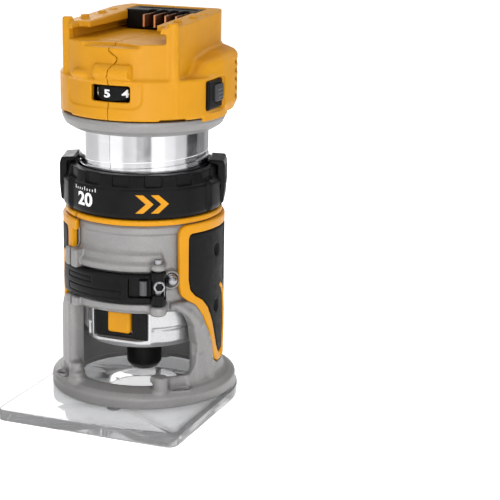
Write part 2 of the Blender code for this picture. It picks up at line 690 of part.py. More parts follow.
def head_cuts():
    rails = box((-RAIL_HALF_WIDTH, RAIL_HALF_WIDTH), (-60, BAY_BACK), (RECEPTACLE_FLOOR, RAIL_TOP))
    mouth = box((-RAIL_MOUTH_HALF_WIDTH, RAIL_MOUTH_HALF_WIDTH), (-60, BAY_BACK), (RAIL_TOP - 1, 215))
    terminals = box((-20.4, 20.4), (19.6, BAY_BACK - 0.1), (RECEPTACLE_FLOOR - 0.5, 215))
    cavity = prism(arc((0, 0), CAVITY_RADIUS, -234, 54, 32), 160.5, 181)
    board_bay = box((-28, 28), (-14, 30), (180, 190))
    spindle_hole = disc(13, 150, 165)
    window = box((-9.9, 11.6), (-50, -35), (167.2, 175.8))
    switch = box((36, 55), SWITCH_SPAN, SWITCH_HEIGHTS)
    cuts = [rails, mouth, terminals, cavity, board_bay, spindle_hole, window, switch]
    for side in (-1, 1):
        span = sorted((side * 30, side * 55))
        for height in VENT_HEIGHTS:
            cuts.append(box(span, (16, 30), (height, height + VENT_WIDTH)))
    for y, z, seat in SCREW_PLACES:
        cuts.append(headed_rod((seat - 16, y, z), (25, y, z), 3.5, 16, 2.0))
    return cuts


def housings(body):
    for side, other_half in (("right", (-60, 0.15)), ("left", (-0.15, 60))):
        cut_off = box(other_half, (-70, 70), (150, 215))
        node(f"housing_{side}", prism(head_outline(), HEAD_BOTTOM, HEAD_SHOULDER), body,
             "yellow_plastic", head_joins(), head_cuts() + [cut_off])
    for number, (y, z, seat) in enumerate(SCREW_PLACES, 1):
        screw = headed_rod((seat - 2.6, y, z), (24.6, y, z), 3.1, 2.3, 1.6)
        node(f"housing_screw_{number}", screw, body, "steel")


def terminals(body):
    slots = [box((x - 2.2, x + 2.2), (15, 25), (198.5, 206.2)) for x in BLADE_PLACES]
    block = box((-20, 20), (20, BAY_BACK - 0.4), (RECEPTACLE_FLOOR + GAP, 207.0))
    node("terminal_block", block, body, "black_plastic", cuts=slots)
    for number, x in enumerate(BLADE_PLACES, 1):
        blade = box((x - 0.5, x + 0.5), (9, 24.6), (199.2, 205.6))
        node(f"terminal_blade_{number}", blade, body, "copper")


def electronics(body):
    board = box((-26, 26), (-12, 28), (183, 184.6))
    parts = [disc(5, 184, 189, 20), box((-20, -9), (2, 20), (184, 188)),
             box((10, 22), (-6, 8), (184, 187))]
    node("controller_board", board, body, "board_green", parts)
    x, y = DIAL_CENTRE
    hole = rod((x, y, 150), (x, y, 175), 2.3)
    node("speed_sensor", box((x - 5, x + 5), (y - 3.6, y + 5), (161, 165.5)), body, "black_plastic",
         cuts=[hole])
    button_hole = box((30, 60), (-6.4, 4.0), (165, 174))
    bezel = box((41.0, 42.8), (SWITCH_SPAN[0] + GAP, SWITCH_SPAN[1] - GAP),
                (SWITCH_HEIGHTS[0] + GAP, SWITCH_HEIGHTS[1] - GAP))
    node("switch_bezel", bezel, body, "black_plastic", cuts=[button_hole])


def speed_dial(body):
    x, y = DIAL_CENTRE
    wheel = turned([(0, 162), (2, 162), (2, 167.6), (9.9, 167.6), (DIAL_RADIUS, 168.2),
                    (DIAL_RADIUS, 174.8), (9.9, 175.4), (0, 175.4)], 24)
    wheel.transform(Matrix.Translation((x, y, 0)))
    node("speed_dial", wheel, body, "black_plastic")


def power_button(body):
    node("power_button", box((37.6, 44.4), (-6, 3.6), (165.4, 173.6)), body, "grey_plastic")


# ---------------------------------------------------------------------------------------------

def build():
    for old in list(bpy.data.objects):
        bpy.data.objects.remove(old, do_unlink=True)

    base = make_body("base")
    base_casting(base)
    sub_base(base)
    base_fittings(base)
    for side in ("left", "right"):
        grip(side, base)
        grip_trim(side, base)
    clamp_lever(make_body("lever", (*LEVER_PIVOT, 70)))

    depth_ring(make_body("ring"))
    for side, angle in TAB_ANGLES.items():
        x, y = around(TAB_PIVOT_RADIUS, angle)
        release_tab(side, make_body(f"tab_{side}", (x, y, TAB_PIVOT_HEIGHT)))

    motor = make_body("motor")
    motor_barrel(motor)
    nose_housing(motor)
    motor_windings(motor)
    housings(motor)
    terminals(motor)
    electronics(motor)
    spindle_parts(make_body("spindle_body"))
    lock_button(make_body("lock", (LOCK_BUTTON_MIDDLE, -30, LOCK_AXIS_HEIGHT)))
    speed_dial(make_body("dial", (*DIAL_CENTRE, 171.5)))
    power_button(make_body("switch", (44, -1.2, 169.5)))


build()
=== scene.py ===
"""Looks of the cordless trim router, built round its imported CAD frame.

Shapes are drawn in millimetres, with heights from the underside of the sub-base, plan positions
from the spindle axis, and angles in degrees about +Z with the front at -90. Most shapes are
sculpted as distance fields on a grid, which gives them real fillets, and are then skinned.
"""

import math

import bmesh
import bpy
import numpy as np
from mathutils import Matrix, Vector


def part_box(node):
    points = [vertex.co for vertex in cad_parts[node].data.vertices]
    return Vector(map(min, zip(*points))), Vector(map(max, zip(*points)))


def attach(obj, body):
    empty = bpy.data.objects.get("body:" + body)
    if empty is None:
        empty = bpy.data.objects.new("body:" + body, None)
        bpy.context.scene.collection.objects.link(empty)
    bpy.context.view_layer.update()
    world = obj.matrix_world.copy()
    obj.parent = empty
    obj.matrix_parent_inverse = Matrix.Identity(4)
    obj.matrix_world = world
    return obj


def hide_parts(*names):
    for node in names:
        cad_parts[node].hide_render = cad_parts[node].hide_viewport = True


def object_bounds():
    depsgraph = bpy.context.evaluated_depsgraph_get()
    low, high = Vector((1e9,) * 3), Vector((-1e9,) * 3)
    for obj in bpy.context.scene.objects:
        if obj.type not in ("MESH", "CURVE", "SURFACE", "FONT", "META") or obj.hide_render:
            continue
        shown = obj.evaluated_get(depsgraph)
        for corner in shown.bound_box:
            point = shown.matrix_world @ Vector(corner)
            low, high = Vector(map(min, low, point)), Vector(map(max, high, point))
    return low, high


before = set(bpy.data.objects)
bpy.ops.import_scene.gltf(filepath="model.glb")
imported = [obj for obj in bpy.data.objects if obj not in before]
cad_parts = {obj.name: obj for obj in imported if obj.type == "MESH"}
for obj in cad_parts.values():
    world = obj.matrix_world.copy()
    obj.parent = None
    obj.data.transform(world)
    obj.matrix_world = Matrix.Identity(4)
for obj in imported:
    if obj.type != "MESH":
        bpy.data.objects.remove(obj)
CAD_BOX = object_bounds()

MM = 0.001
FINE = 0.45  # grid step of the sculpted pieces
COARSE = 0.55
FAR = 6.0  # distances are only kept this far from a surface
MOST_TRIANGLES = 190000

collet_low, collet_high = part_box("collet")
SPINDLE_Y = (collet_low.y + collet_high.y) / 2 / MM

# Driving sizes, as in the CAD
FOOT_RADIUS = 50.2
COLLAR_RADIUS = 39.5
COLLAR_BORE = 34.9
COLLAR_BOTTOM = 56.0
COLLAR_TOP = 103.0
LEG_RADIUS = 43.2
WINDOW_LEFT = -126.6
WINDOW_RIGHT = -24.0
SLIT_ANGLE = -124.0
GRIP_INNER = 39.95
GRIP_RADIUS = 43.4
RIGHT_GRIP_EDGE = -40.2
LEFT_GRIP_EDGE = -125.8
GRIP_SPAN = 102.0
# The grip's yellow edging, by degrees from the grip's front edge, and heights
EDGING_OUTER = [(0, 70.5), (1.5, 65), (7, 61.8), (14, 58.7), (21, 52.1), (28, 42.5), (32, 33.2), (35.5, 25),
                (41, 22.2)]
EDGING_INNER = [(8, 73), (9.5, 67.5), (14, 63.8), (21, 60.6), (26.5, 55.8), (31, 49), (34.5, 42), (38, 33),
                (42, 27.2)]
EDGING_TOP = (102.7, 97.6)
LEVER_PIVOT = (25.2, -37.3)
TAB_ANGLES = {"right": 19.0, "left": -161.0}
GROOVE_PITCH = 10.0
GROOVE_REFERENCE = (-67.0, 133.4)
BARREL_RADIUS = 34.5
HEAD_BOTTOM = 157.8
HEAD_RADIUS = 44.0
DIAL_CENTRE = (0.9, -33.2)
SWITCH_SPAN = (-14.6, 3.9)
SWITCH_HEIGHTS = (161.3, 176.6)


# ---------------------------------------------------------------------------------------------
# Distance fields
# ---------------------------------------------------------------------------------------------

class Spot:
    """Places on a grid, in thin arrays that numpy spreads over the whole grid when it needs to."""

    def __init__(self, x, y, z, step):
        self.x, self.y, self.z, self.step = x, y, z, step
        self.r = np.hypot(x, y)

    def turn_from(self, middle):
        """Degrees round the axis from a middle angle, between -180 and 180."""
        return (np.degrees(np.arctan2(self.y, self.x)) - middle + 180) % 360 - 180

    def turned(self, angle, centre=(0, 0)):
        """The same places seen by a shape that has been turned about a vertical axis."""
        c, s = math.cos(math.radians(angle)), math.sin(math.radians(angle))
        x, y = self.x - centre[0], self.y - centre[1]
        return Spot(x * c + y * s, y * c - x * s, self.z, self.step)


class Form:
    """A shape: its distance function, and the box that holds it."""

    def __init__(self, distance, low, high):
        self.distance, self.low, self.high = distance, low, high

    def facing(self, angle, centre=(0, 0)):
        """The shape, drawn facing +X, turned to face an angle and moved to a centre."""
        c, s = math.cos(math.radians(angle)), math.sin(math.radians(angle))
        corners = [(x * c - y * s + centre[0], x * s + y * c + centre[1])
                   for x in (self.low[0], self.high[0]) for y in (self.low[1], self.high[1])]
        low = (min(p[0] for p in corners), min(p[1] for p in corners), self.low[2])
        high = (max(p[0] for p in corners), max(p[1] for p in corners), self.high[2])
        return Form(lambda spot: self.distance(spot.turned(angle, centre)), low, high)


def both(a, b, edge=0.0):
    """Where two shapes overlap, with the edge between them rounded off."""
    a, b = a + edge, b + edge
    return np.minimum(np.maximum(a, b), 0) + np.hypot(np.maximum(a, 0), np.maximum(b, 0)) - edge


def either(a, b, blend):
    """The union of two shapes, with a fillet of about the blend's size."""
    if blend <= 0:
        return np.minimum(a, b)
    share = np.clip(0.5 + 0.5 * (b - a) / blend, 0, 1)
    return b + (a - b) * share - blend * share * (1 - share)


def outline_distance(outline, u, v):
    """Signed distance to a closed outline, negative inside."""
    nearest = np.full(np.broadcast(u, v).shape, 1e9)
    inside = np.zeros(nearest.shape, bool)
    for (au, av), (bu, bv) in zip(outline, outline[1:] + outline[:1]):
        eu, ev = bu - au, bv - av
        share = np.clip(((u - au) * eu + (v - av) * ev) / (eu * eu + ev * ev + 1e-12), 0, 1)
        nearest = np.minimum(nearest, (u - au - share * eu) ** 2 + (v - av - share * ev) ** 2)
        if av != bv:
            inside ^= ((av > v) != (bv > v)) & (u < au + (v - av) * eu / ev)
    return np.where(inside, -np.sqrt(nearest), np.sqrt(nearest))


def looked_up(outline, u, z, step):
    """Distance to an outline in the (u, z) plane for many places at once, from a fine table."""
    lowest, fine = float(u.min()), step / 2
    columns = lowest + fine * np.arange(int((float(u.max()) - lowest) / fine) + 3)
    table = outline_distance(outline, columns[:, None], z[0, 0][None, :]).astype(np.float32)
    place = (u[..., 0] - lowest) / fine
    index = place.astype(int)
    share = (place - index)[..., None].astype(np.float32)
    return table[index] * (1 - share) + table[index + 1] * share


def softened(outline):
    """Replaces each corner of a (u, v, radius) outline by an arc."""
    points = []
    for i, (u, v, radius) in enumerate(outline):
        corner = Vector((u, v))
        before = Vector(outline[i - 1][:2]) - corner
        after = Vector(outline[(i + 1) % len(outline)][:2]) - corner
        if radius <= 0:
            points.append((u, v))
            continue
        half = before.angle(after) / 2
        reach = min(radius / math.tan(half), before.length * 0.49, after.length * 0.49)
        start, end = corner + before.normalized() * reach, corner + after.normalized() * reach
        for step in range(7):
            t = step / 6
            point = start * (1 - t) ** 2 + corner * 2 * t * (1 - t) + end * t ** 2
            points.append((point.x, point.y))
    return points


def around(radius, angle):
    return radius * math.cos(math.radians(angle)), radius * math.sin(math.radians(angle))


def arc(centre, radius, start, end, count):
    steps = (start + (end - start) * i / count for i in range(count + 1))
    return [(centre[0] + x, centre[1] + y) for x, y in (around(radius, a) for a in steps)]


def block(x, y, z, edge=0.5):
    """A box with rounded edges, from its spans."""
    def distance(spot):
        parts = []
        for place, (low, high) in ((spot.x, x), (spot.y, y), (spot.z, z)):
            parts.append(np.abs(place - (low + high) / 2) - (high - low) / 2 + edge)
        outside = sum(np.maximum(part, 0) ** 2 for part in parts)
        inside = np.minimum(np.maximum(np.maximum(parts[0], parts[1]), parts[2]), 0)
        return np.sqrt(outside) + inside - edge
    return Form(distance, (x[0], y[0], z[0]), (x[1], y[1], z[1]))


def spun(outline, edge=0.0):
    """A (radius, height) outline spun round the axis."""
    reach = max(r for r, z in outline)
    low = (-reach, -reach, min(z for r, z in outline))
    high = (reach, reach, max(z for r, z in outline))
    return Form(lambda spot: looked_up(outline, spot.r, spot.z, spot.step) - edge, low, high)


def span_box(start, end, inner, outer):
    """The plan box of a sector of a ring."""
    points = [around(radius, start + (end - start) * i / 24)
              for radius in (inner, outer) for i in range(25)]
    return [(min(p[i] for p in points), max(p[i] for p in points)) for i in (0, 1)]


def sector(outline, start, end, edge=0.5):
    """Part of a spun shape, between two angles."""
    middle, half = (start + end) / 2, (end - start) / 2

    def distance(spot):
        across = (np.abs(spot.turn_from(middle)) - half) * np.radians(1) * spot.r
        return both(looked_up(outline, spot.r, spot.z, spot.step), across, edge)
    radii = [r for r, z in outline]
    (x0, x1), (y0, y1) = span_box(start, end, min(radii), max(radii))
    heights = [z for r, z in outline]
    return Form(distance, (x0, y0, min(heights)), (x1, y1, max(heights)))


def wrapped(outline, inner, outer, edge=0.5):
    """A plate wrapped round the axis, from an outline in (degrees, height)."""
    start, end = min(a for a, z in outline), max(a for a, z in outline)
    middle, scale = (start + end) / 2, math.radians(1) * outer
    flat = [((a - middle) * scale, z) for a, z in outline]

    def distance(spot):
        face = looked_up(flat, spot.turn_from(middle) * scale, spot.z, spot.step)
        return both(face, np.abs(spot.r - (inner + outer) / 2) - (outer - inner) / 2, edge)
    (x0, x1), (y0, y1) = span_box(start, end, inner, outer)
    heights = [z for a, z in outline]
    return Form(distance, (x0, y0, min(heights)), (x1, y1, max(heights)))


def soft_wrap(outline, inner, outer, edge=0.5):
    """The same from a (degrees, height, corner radius) outline."""
    scale = math.radians(1) * outer
    flat = softened([(a * scale, z, radius) for a, z, radius in outline])
    return wrapped([(u / scale, z) for u, z in flat], inner, outer, edge)


def plan(outline, bottom, top, edge=0.5):
    """A flat outline in (x, y) raised between two heights."""
    def distance(spot):
        face = outline_distance(outline, spot.x, spot.y)
        return both(face, np.abs(spot.z - (bottom + top) / 2) - (top - bottom) / 2, edge)
    xs, ys = [p[0] for p in outline], [p[1] for p in outline]
    return Form(distance, (min(xs), min(ys), bottom), (max(xs), max(ys), top))


def profile(outline, half_width, edge=0.5):
    """A side outline in (x, z), as wide as asked along y. Turn it with facing()."""
    def distance(spot):
        face = looked_up(outline, spot.x + 0 * spot.y, spot.z, spot.step)
        return both(face, np.abs(spot.y) - half_width, edge)
    xs, zs = [p[0] for p in outline], [p[1] for p in outline]
    return Form(distance, (min(xs), -half_width, min(zs)), (max(xs), half_width, max(zs)))


def rod(start, end, radius, edge=0.3):
    """A round bar between two points."""
    a, b = np.array(start, float), np.array(end, float)
    length = np.linalg.norm(b - a)
    way = (b - a) / length

    def distance(spot):
        x, y, z = spot.x - a[0], spot.y - a[1], spot.z - a[2]
        along = x * way[0] + y * way[1] + z * way[2]
        off = np.sqrt(np.maximum(x * x + y * y + z * z - along * along, 0))
        return both(off - radius, np.abs(along - length / 2) - length / 2, edge)
    return Form(distance, tuple(np.minimum(a, b) - radius), tuple(np.maximum(a, b) + radius))


def ball(centre, radii):
    """An ellipsoid."""
    def distance(spot):
        parts = [(place - c) / radius
                 for place, c, radius in zip((spot.x, spot.y, spot.z), centre, radii)]
        size = np.sqrt(parts[0] ** 2 + parts[1] ** 2 + parts[2] ** 2)
        return (size - 1) * min(radii)
    low = tuple(c - r for c, r in zip(centre, radii))
    high = tuple(c + r for c, r in zip(centre, radii))
    return Form(distance, low, high)


CORNERS = np.array([(i, j, k) for i in (0, 1) for j in (0, 1) for k in (0, 1)])
EDGES = [(a, b) for a in range(8) for b in range(a, 8) if bin(a ^ b).count("1") == 1]


class Clay:
    """A solid on a grid, built up by adding and cutting forms."""

    def __init__(self, low, high, step=FINE):
        self.low, self.step = np.array(low, float) - 2 * step, step
        counts = np.ceil((np.array(high) - np.array(low)) / step).astype(int) + 5
        self.axes = [self.low[i] + step * np.arange(counts[i]) for i in range(3)]
        self.field = np.full(counts, FAR, np.float32)

    def change(self, form, margin, mix):
        window = []
        for axis, low, high in zip(self.axes, form.low, form.high):
            first, last = np.searchsorted(axis, (low - margin, high + margin))
            window.append(slice(max(first, 0), max(last, first + 1)))
        places = [axis[part] for axis, part in zip(self.axes, window)]
        if any(len(place) == 0 for place in places):
            return
        spot = Spot(places[0][:, None, None], places[1][None, :, None], places[2][None, None, :],
                    self.step)
        part = self.field[tuple(window)]
        distance = np.broadcast_to(form.distance(spot), part.shape)
        part[...] = np.clip(mix(part, distance), -FAR, FAR)

    def add(self, form, blend=0.0):
        self.change(form, blend + 4, lambda old, new: either(old, new, blend))
        return self

    def cut(self, form, blend=0.0):
        self.change(form, blend + 4, lambda old, new: -either(-old, new, blend))
        return self

    def sample(self, points):
        """The field at points given in grid steps."""
        base = np.clip(points.astype(int), 0, np.array(self.field.shape) - 2)
        part = points - base
        total = 0
        for corner in CORNERS:
            weight = np.prod(np.where(corner, part, 1 - part), axis=1)
            total = total + weight * self.field[tuple((base + corner).T)]
        return total

    def slope(self, points, reach=0.75):
        sides = []
        for axis in np.eye(3):
            sides.append(self.sample(points + axis * reach) - self.sample(points - axis * reach))
        slope = np.stack(sides, axis=1) / (2 * reach)
        return slope

    def settle(self, points):
        """Moves points onto the surface."""
        for _ in range(2):
            slope = self.slope(points)
            size = np.maximum((slope ** 2).sum(axis=1), 0.02 * self.step ** 2)
            move = slope * (self.sample(points) / size)[:, None]
            points = points - np.clip(move, -0.6, 0.6)
        return points

    def skin(self):
        """Points in grid steps, and the four-cornered faces that join them."""
        field = self.field
        for axis in range(3):
            ends = [slice(None)] * 3
            ends[axis] = [0, -1]
            field[tuple(ends)] = FAR
        inside = field < 0
        filled = sum(inside[tuple(slice(c, n - 1 + c) for c, n in zip(corner, field.shape))]
                     .astype(np.uint8) for corner in CORNERS)
        cells = np.argwhere((filled > 0) & (filled < 8))
        values = [field[tuple((cells + corner).T)] for corner in CORNERS]
        total, count = np.zeros((len(cells), 3)), np.zeros(len(cells))
        for a, b in EDGES:
            crosses = (values[a] < 0) != (values[b] < 0)
            gap = np.where(crosses, values[a] - values[b], 1.0)
            point = CORNERS[a] + (values[a] / gap)[:, None] * (CORNERS[b] - CORNERS[a])
            total += np.where(crosses[:, None], point, 0)
            count += crosses
        number = np.full(filled.shape, -1, np.int32)
        number[tuple(cells.T)] = np.arange(len(cells))
        faces = []
        for axis in range(3):
            across, up = np.eye(3, dtype=int)[[(axis + 1) % 3, (axis + 2) % 3]]
            near, far = [slice(1, -1)] * 3, [slice(1, -1)] * 3
            near[axis], far[axis] = slice(0, -1), slice(1, None)
            starts = np.argwhere(inside[tuple(near)] != inside[tuple(far)]) + 1
            starts[:, axis] -= 1
            ring = [starts - across - up, starts - up, starts, starts - across]
            quad = np.stack([number[tuple(corner.T)] for corner in ring], axis=1)
            leaving = inside[tuple(starts.T)]
            faces.append(np.where(leaving[:, None], quad, quad[:, ::-1]))
        return cells + total / count[:, None], np.concatenate(faces)

    def mesh(self, name):
        points, faces = self.skin()
        made = quad_mesh(name, self.place(self.settle(points)), faces)
        if len(faces) * 2 > MOST_TRIANGLES:
            made = thinned(made, MOST_TRIANGLES / (len(faces) * 2))
        co = np.zeros(len(made.vertices) * 3)
        made.vertices.foreach_get("co", co)
        grid = (co.reshape(-1, 3) / MM - (0, SPINDLE_Y, 0) - self.low) / self.step
        normals = self.slope(grid)
        normals /= np.maximum(np.linalg.norm(normals, axis=1), 1e-9)[:, None]
        made.shade_smooth()
        made.normals_split_custom_set_from_vertices(normals.tolist())
        return made

    def place(self, points):
        """From grid steps to the row frame, in metres."""
        return (self.low + points * self.step + (0, SPINDLE_Y, 0)) * MM


def quad_mesh(name, points, faces):
    made = bpy.data.meshes.new(name)
    made.vertices.add(len(points))
    made.vertices.foreach_set("co", points.astype(np.float32).ravel())
    made.loops.add(faces.size)
    made.loops.foreach_set("vertex_index", faces.astype(np.int32).ravel())
    made.polygons.add(len(faces))
    made.polygons.foreach_set("loop_start", np.arange(0, faces.size, 4, dtype=np.int32))
    made.update(calc_edges=True)
    return made


def thinned(mesh, ratio):
    """The mesh with fewer triangles, mostly taken from its flat parts."""
    helper = bpy.data.objects.new("helper", mesh)
    bpy.context.collection.objects.link(helper)
    helper.modifiers.new("thin", "DECIMATE").ratio = ratio
    bpy.context.view_layer.update()
    result = bpy.data.meshes.new_from_object(helper.evaluated_get(bpy.context.evaluated_depsgraph_get()))
    bpy.data.objects.remove(helper)
    bpy.data.meshes.remove(mesh)
    return result


# ---------------------------------------------------------------------------------------------
# Materials
# ---------------------------------------------------------------------------------------------

class Nodes:
    """A small helper that adds nodes to a material and links them."""

    def __init__(self, name):
        self.material = bpy.data.materials.new(name)
        self.material.use_nodes = True
        self.tree = self.material.node_tree
        self.shader = self.tree.nodes["Principled BSDF"]
        self.where = self.tree.nodes.new("ShaderNodeTexCoord").outputs["Object"]

    def link(self, source, target):
        self.tree.links.new(source, target)

    def noise(self, size, detail=3.0, stretch=(1, 1, 1), roughness=0.55):
        """Noise whose grains are about a size in millimetres."""
        mapping = self.tree.nodes.new("ShaderNodeMapping")
        mapping.inputs["Scale"].default_value = stretch
        node = self.tree.nodes.new("ShaderNodeTexNoise")
        node.inputs["Scale"].default_value = 1 / (size * MM)
        node.inputs["Detail"].default_value = detail
        node.inputs["Roughness"].default_value = roughness
        self.link(self.where, mapping.inputs["Vector"])
        self.link(mapping.outputs["Vector"], node.inputs["Vector"])
        return node.outputs["Fac"]

    def ramp(self, source, low, high, start, end):
        """A number that goes from one value to another as the source goes from low to high."""
        node = self.tree.nodes.new("ShaderNodeMapRange")
        for name, value in zip(("From Min", "From Max", "To Min", "To Max"), (low, high, start, end)):
            node.inputs[name].default_value = value
        self.link(source, node.inputs["Value"])
        return node.outputs["Result"]

    def mixed(self, factor, a, b):
        """A colour between two colours. Each is a colour or a socket."""
        node = self.tree.nodes.new("ShaderNodeMix")
        node.data_type = "RGBA"
        sockets = {s.identifier: s for s in node.inputs}
        self.link(factor, sockets["Factor_Float"])
        for key, colour in (("A_Color", a), ("B_Color", b)):
            if isinstance(colour, tuple):
                sockets[key].default_value = (*colour, 1)
            else:
                self.link(colour, sockets[key])
        return next(s for s in node.outputs if s.identifier == "Result_Color")

    def bump(self, height, distance, strength=1.0, below=None):
        node = self.tree.nodes.new("ShaderNodeBump")
        node.inputs["Strength"].default_value = strength
        node.inputs["Distance"].default_value = distance * MM
        self.link(height, node.inputs["Height"])
        if below is not None:
            self.link(below, node.inputs["Normal"])
        return node.outputs["Normal"]

    def set(self, **values):
        for name, value in values.items():
            socket = self.shader.inputs[name.replace("_", " ")]
            if hasattr(value, "links") or isinstance(value, bpy.types.NodeSocket):
                self.link(value, socket)
            else:
                socket.default_value = (*value, 1) if isinstance(value, tuple) else value


def moulded(name, colour, roughness, grain=0.35, depth=0.02, spread=0.1, shine=0.5):
    """Moulded plastic or rubber: a fine tool texture, slight mottling and uneven gloss."""
    n = Nodes(name)
    shade = n.noise(14, 4)
    dark = tuple(c * (1 - spread) for c in colour)
    light = tuple(min(c * (1 + spread) + 0.002, 1) for c in colour)
    fine = n.noise(grain, 2)
    gloss = n.noise(4, 5)
    n.set(Base_Color=n.mixed(n.ramp(shade, 0.3, 0.7, 0, 1), dark, light),
          Roughness=n.ramp(gloss, 0.3, 0.7, roughness * 0.85, roughness * 1.15),
          Normal=n.bump(fine, depth, 0.6), Specular_IOR_Level=shine)
    return n.material


def cast(name, colour, roughness, metallic, grain=0.55, depth=0.05):
    """Blasted casting: a sandy skin with bright and dark specks."""
    n = Nodes(name)
    sand = n.noise(grain, 4, roughness=0.7)
    cloud = n.noise(9, 4)
    base = n.mixed(n.ramp(cloud, 0.3, 0.7, 0, 1), tuple(c * 0.93 for c in colour),
                   tuple(min(c * 1.06, 1) for c in colour))
    specks = n.mixed(n.ramp(sand, 0.35, 0.68, 0, 1), tuple(c * 0.8 for c in colour), base)
    n.set(Base_Color=specks, Metallic=metallic,
          Roughness=n.ramp(sand, 0.3, 0.7, roughness * 1.15, roughness * 0.85),
          Normal=n.bump(sand, depth, 0.7))
    return n.material


def machined(name, colour, roughness, ring=0.25, depth=0.004, metallic=1.0):
    """Turned metal: fine rings from the tool, light streaks and faint smears."""
    n = Nodes(name)
    rings = n.noise(ring, 3, stretch=(0.03, 0.03, 1))
    smear = n.noise(11, 4)
    tint = n.mixed(n.ramp(rings, 0.3, 0.7, 0, 1), tuple(c * 0.9 for c in colour), colour)
    n.set(Base_Color=tint, Metallic=metallic,
          Roughness=n.ramp(smear, 0.3, 0.7, roughness * 0.8, roughness * 1.25),
          Normal=n.bump(rings, depth, 0.5))
    return n.material


def clear_plastic(name):
    """Clear moulded plastic, faintly grey, with hairline scratches on its faces."""
    n = Nodes(name)
    scratches = n.noise(0.5, 3, stretch=(0.05, 1, 1))
    n.set(Base_Color=n.mixed(n.ramp(scratches, 0.62, 0.75, 0, 1), (0.56, 0.565, 0.57), (0.48, 0.49, 0.5)),
          Roughness=n.ramp(n.noise(6, 4), 0.3, 0.7, 0.02, 0.07), IOR=1.46,
          Transmission_Weight=0.85, Normal=n.bump(scratches, 0.003, 0.3))
    return n.material


def board(name):
    """A circuit board's green varnish, with paler tracks under it."""
    n = Nodes(name)
    tracks = n.tree.nodes.new("ShaderNodeTexBrick")
    tracks.inputs["Scale"].default_value = 160
    n.link(n.where, tracks.inputs["Vector"])
    colour = n.mixed(tracks.outputs["Fac"], (0.012, 0.10, 0.04), (0.03, 0.2, 0.09))
    n.set(Base_Color=colour, Roughness=n.ramp(n.noise(2), 0.3, 0.7, 0.3, 0.45),
          Normal=n.bump(tracks.outputs["Fac"], 0.02, 0.5), Coat_Weight=0.4)
    return n.material


def floor_paper(name):
    """Seamless white studio paper."""
    n = Nodes(name)
    fibres = n.noise(3, 5)
    n.set(Base_Color=n.mixed(n.ramp(fibres, 0.3, 0.7, 0, 1), (0.9, 0.9, 0.9), (0.93, 0.93, 0.93)),
          Roughness=n.ramp(fibres, 0.3, 0.7, 0.55, 0.65), Normal=n.bump(fibres, 0.01, 0.2),
          Emission_Color=(1.0, 1.0, 1.0), Emission_Strength=0.6)
    return n.material


YELLOW = (0.53, 0.234, 0.004)
MATERIALS = {
    "yellow_shell": moulded("yellow_shell_plastic", YELLOW, 0.42, spread=0.03, shine=0.2),
    "yellow_trim": moulded("yellow_trim_plastic", (0.57, 0.245, 0.002), 0.38, spread=0.03, shine=0.2),
    "black_moulding": moulded("black_moulded_plastic", (0.003, 0.003, 0.0032), 0.34, spread=0.2, depth=0.03,
                              shine=0.12),
    "black_nut": moulded("black_oxide_nut", (0.004, 0.004, 0.004), 0.42, spread=0.3, depth=0.015, shine=0.15),
    "black_grip": moulded("black_grip_rubber", (0.004, 0.0041, 0.0043), 0.55, grain=0.5, depth=0.06,
                          spread=0.25, shine=0.12),
    "grey_button": moulded("grey_button_plastic", (0.045, 0.045, 0.05), 0.38, spread=0.1, shine=0.2),
    "cast_grey": cast("blasted_casting", (0.272, 0.267, 0.264), 0.48, 0.5),
    "bright_barrel": machined("turned_barrel", (0.86, 0.86, 0.88), 0.15),
    "steel": machined("ground_steel", (0.34, 0.34, 0.36), 0.3, metallic=1.0),
    "dull_steel": machined("dull_roller_steel", (0.1, 0.1, 0.105), 0.42),
    "copper": machined("copper_blade", (0.78, 0.36, 0.18), 0.3),
    "board_green": board("varnished_board"),
    "clear_base": clear_plastic("clear_sub_base"),
    "lens": moulded("milky_lens", (0.7, 0.71, 0.69), 0.2, spread=0.04),
    "white_print": moulded("white_print", (0.85, 0.85, 0.85), 0.5, spread=0.04),
    "nose_bright": cast("bright_casting", (0.56, 0.56, 0.57), 0.3, 0.8, grain=0.8, depth=0.006),
}


# ---------------------------------------------------------------------------------------------
# Placing pieces
# ---------------------------------------------------------------------------------------------

def piece(name, mesh, body, finish, stands_for=()):
    """Puts a mesh in the scene, riding on a body, in place of the CAD nodes it stands for."""
    made = bpy.data.objects.new(name, mesh)
    bpy.context.collection.objects.link(made)
    mesh.materials.clear()
    mesh.materials.append(MATERIALS[finish])
    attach(made, body)
    if stands_for:
        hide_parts(*stands_for)
    return made


def sculpted(name, clay, body, finish, stands_for=()):
    return piece(name, clay.mesh(name), body, finish, stands_for)


def finger_height(side):
    """Height of a release tab's finger; the right one reaches one groove turn lower."""
    return groove_height(TAB_ANGLES[side]) - (GROOVE_PITCH if side == "right" else 0)


def groove_height(angle):
    """Height of the barrel's helical groove at an angle round it."""
    return GROOVE_REFERENCE[1] + (angle - GROOVE_REFERENCE[0]) / 360 * GROOVE_PITCH


# ---------------------------------------------------------------------------------------------
# Fixed base
# ---------------------------------------------------------------------------------------------

def grip_line(side, share):
    """Corners (degrees, height, radius) along a grip's lower edge: the edging's outer line, or a
    share of the way to its inner line."""
    sign, start = (1, RIGHT_GRIP_EDGE) if side == "right" else (-1, LEFT_GRIP_EDGE)
    corners = []
    for (outer_turn, outer_height), (inner_turn, inner_height) in zip(EDGING_OUTER, EDGING_INNER):
        turn = outer_turn + (inner_turn - outer_turn) * share
        height = outer_height + (inner_height - outer_height) * share
        corners.append((start + sign * turn, height, 4))
    return corners


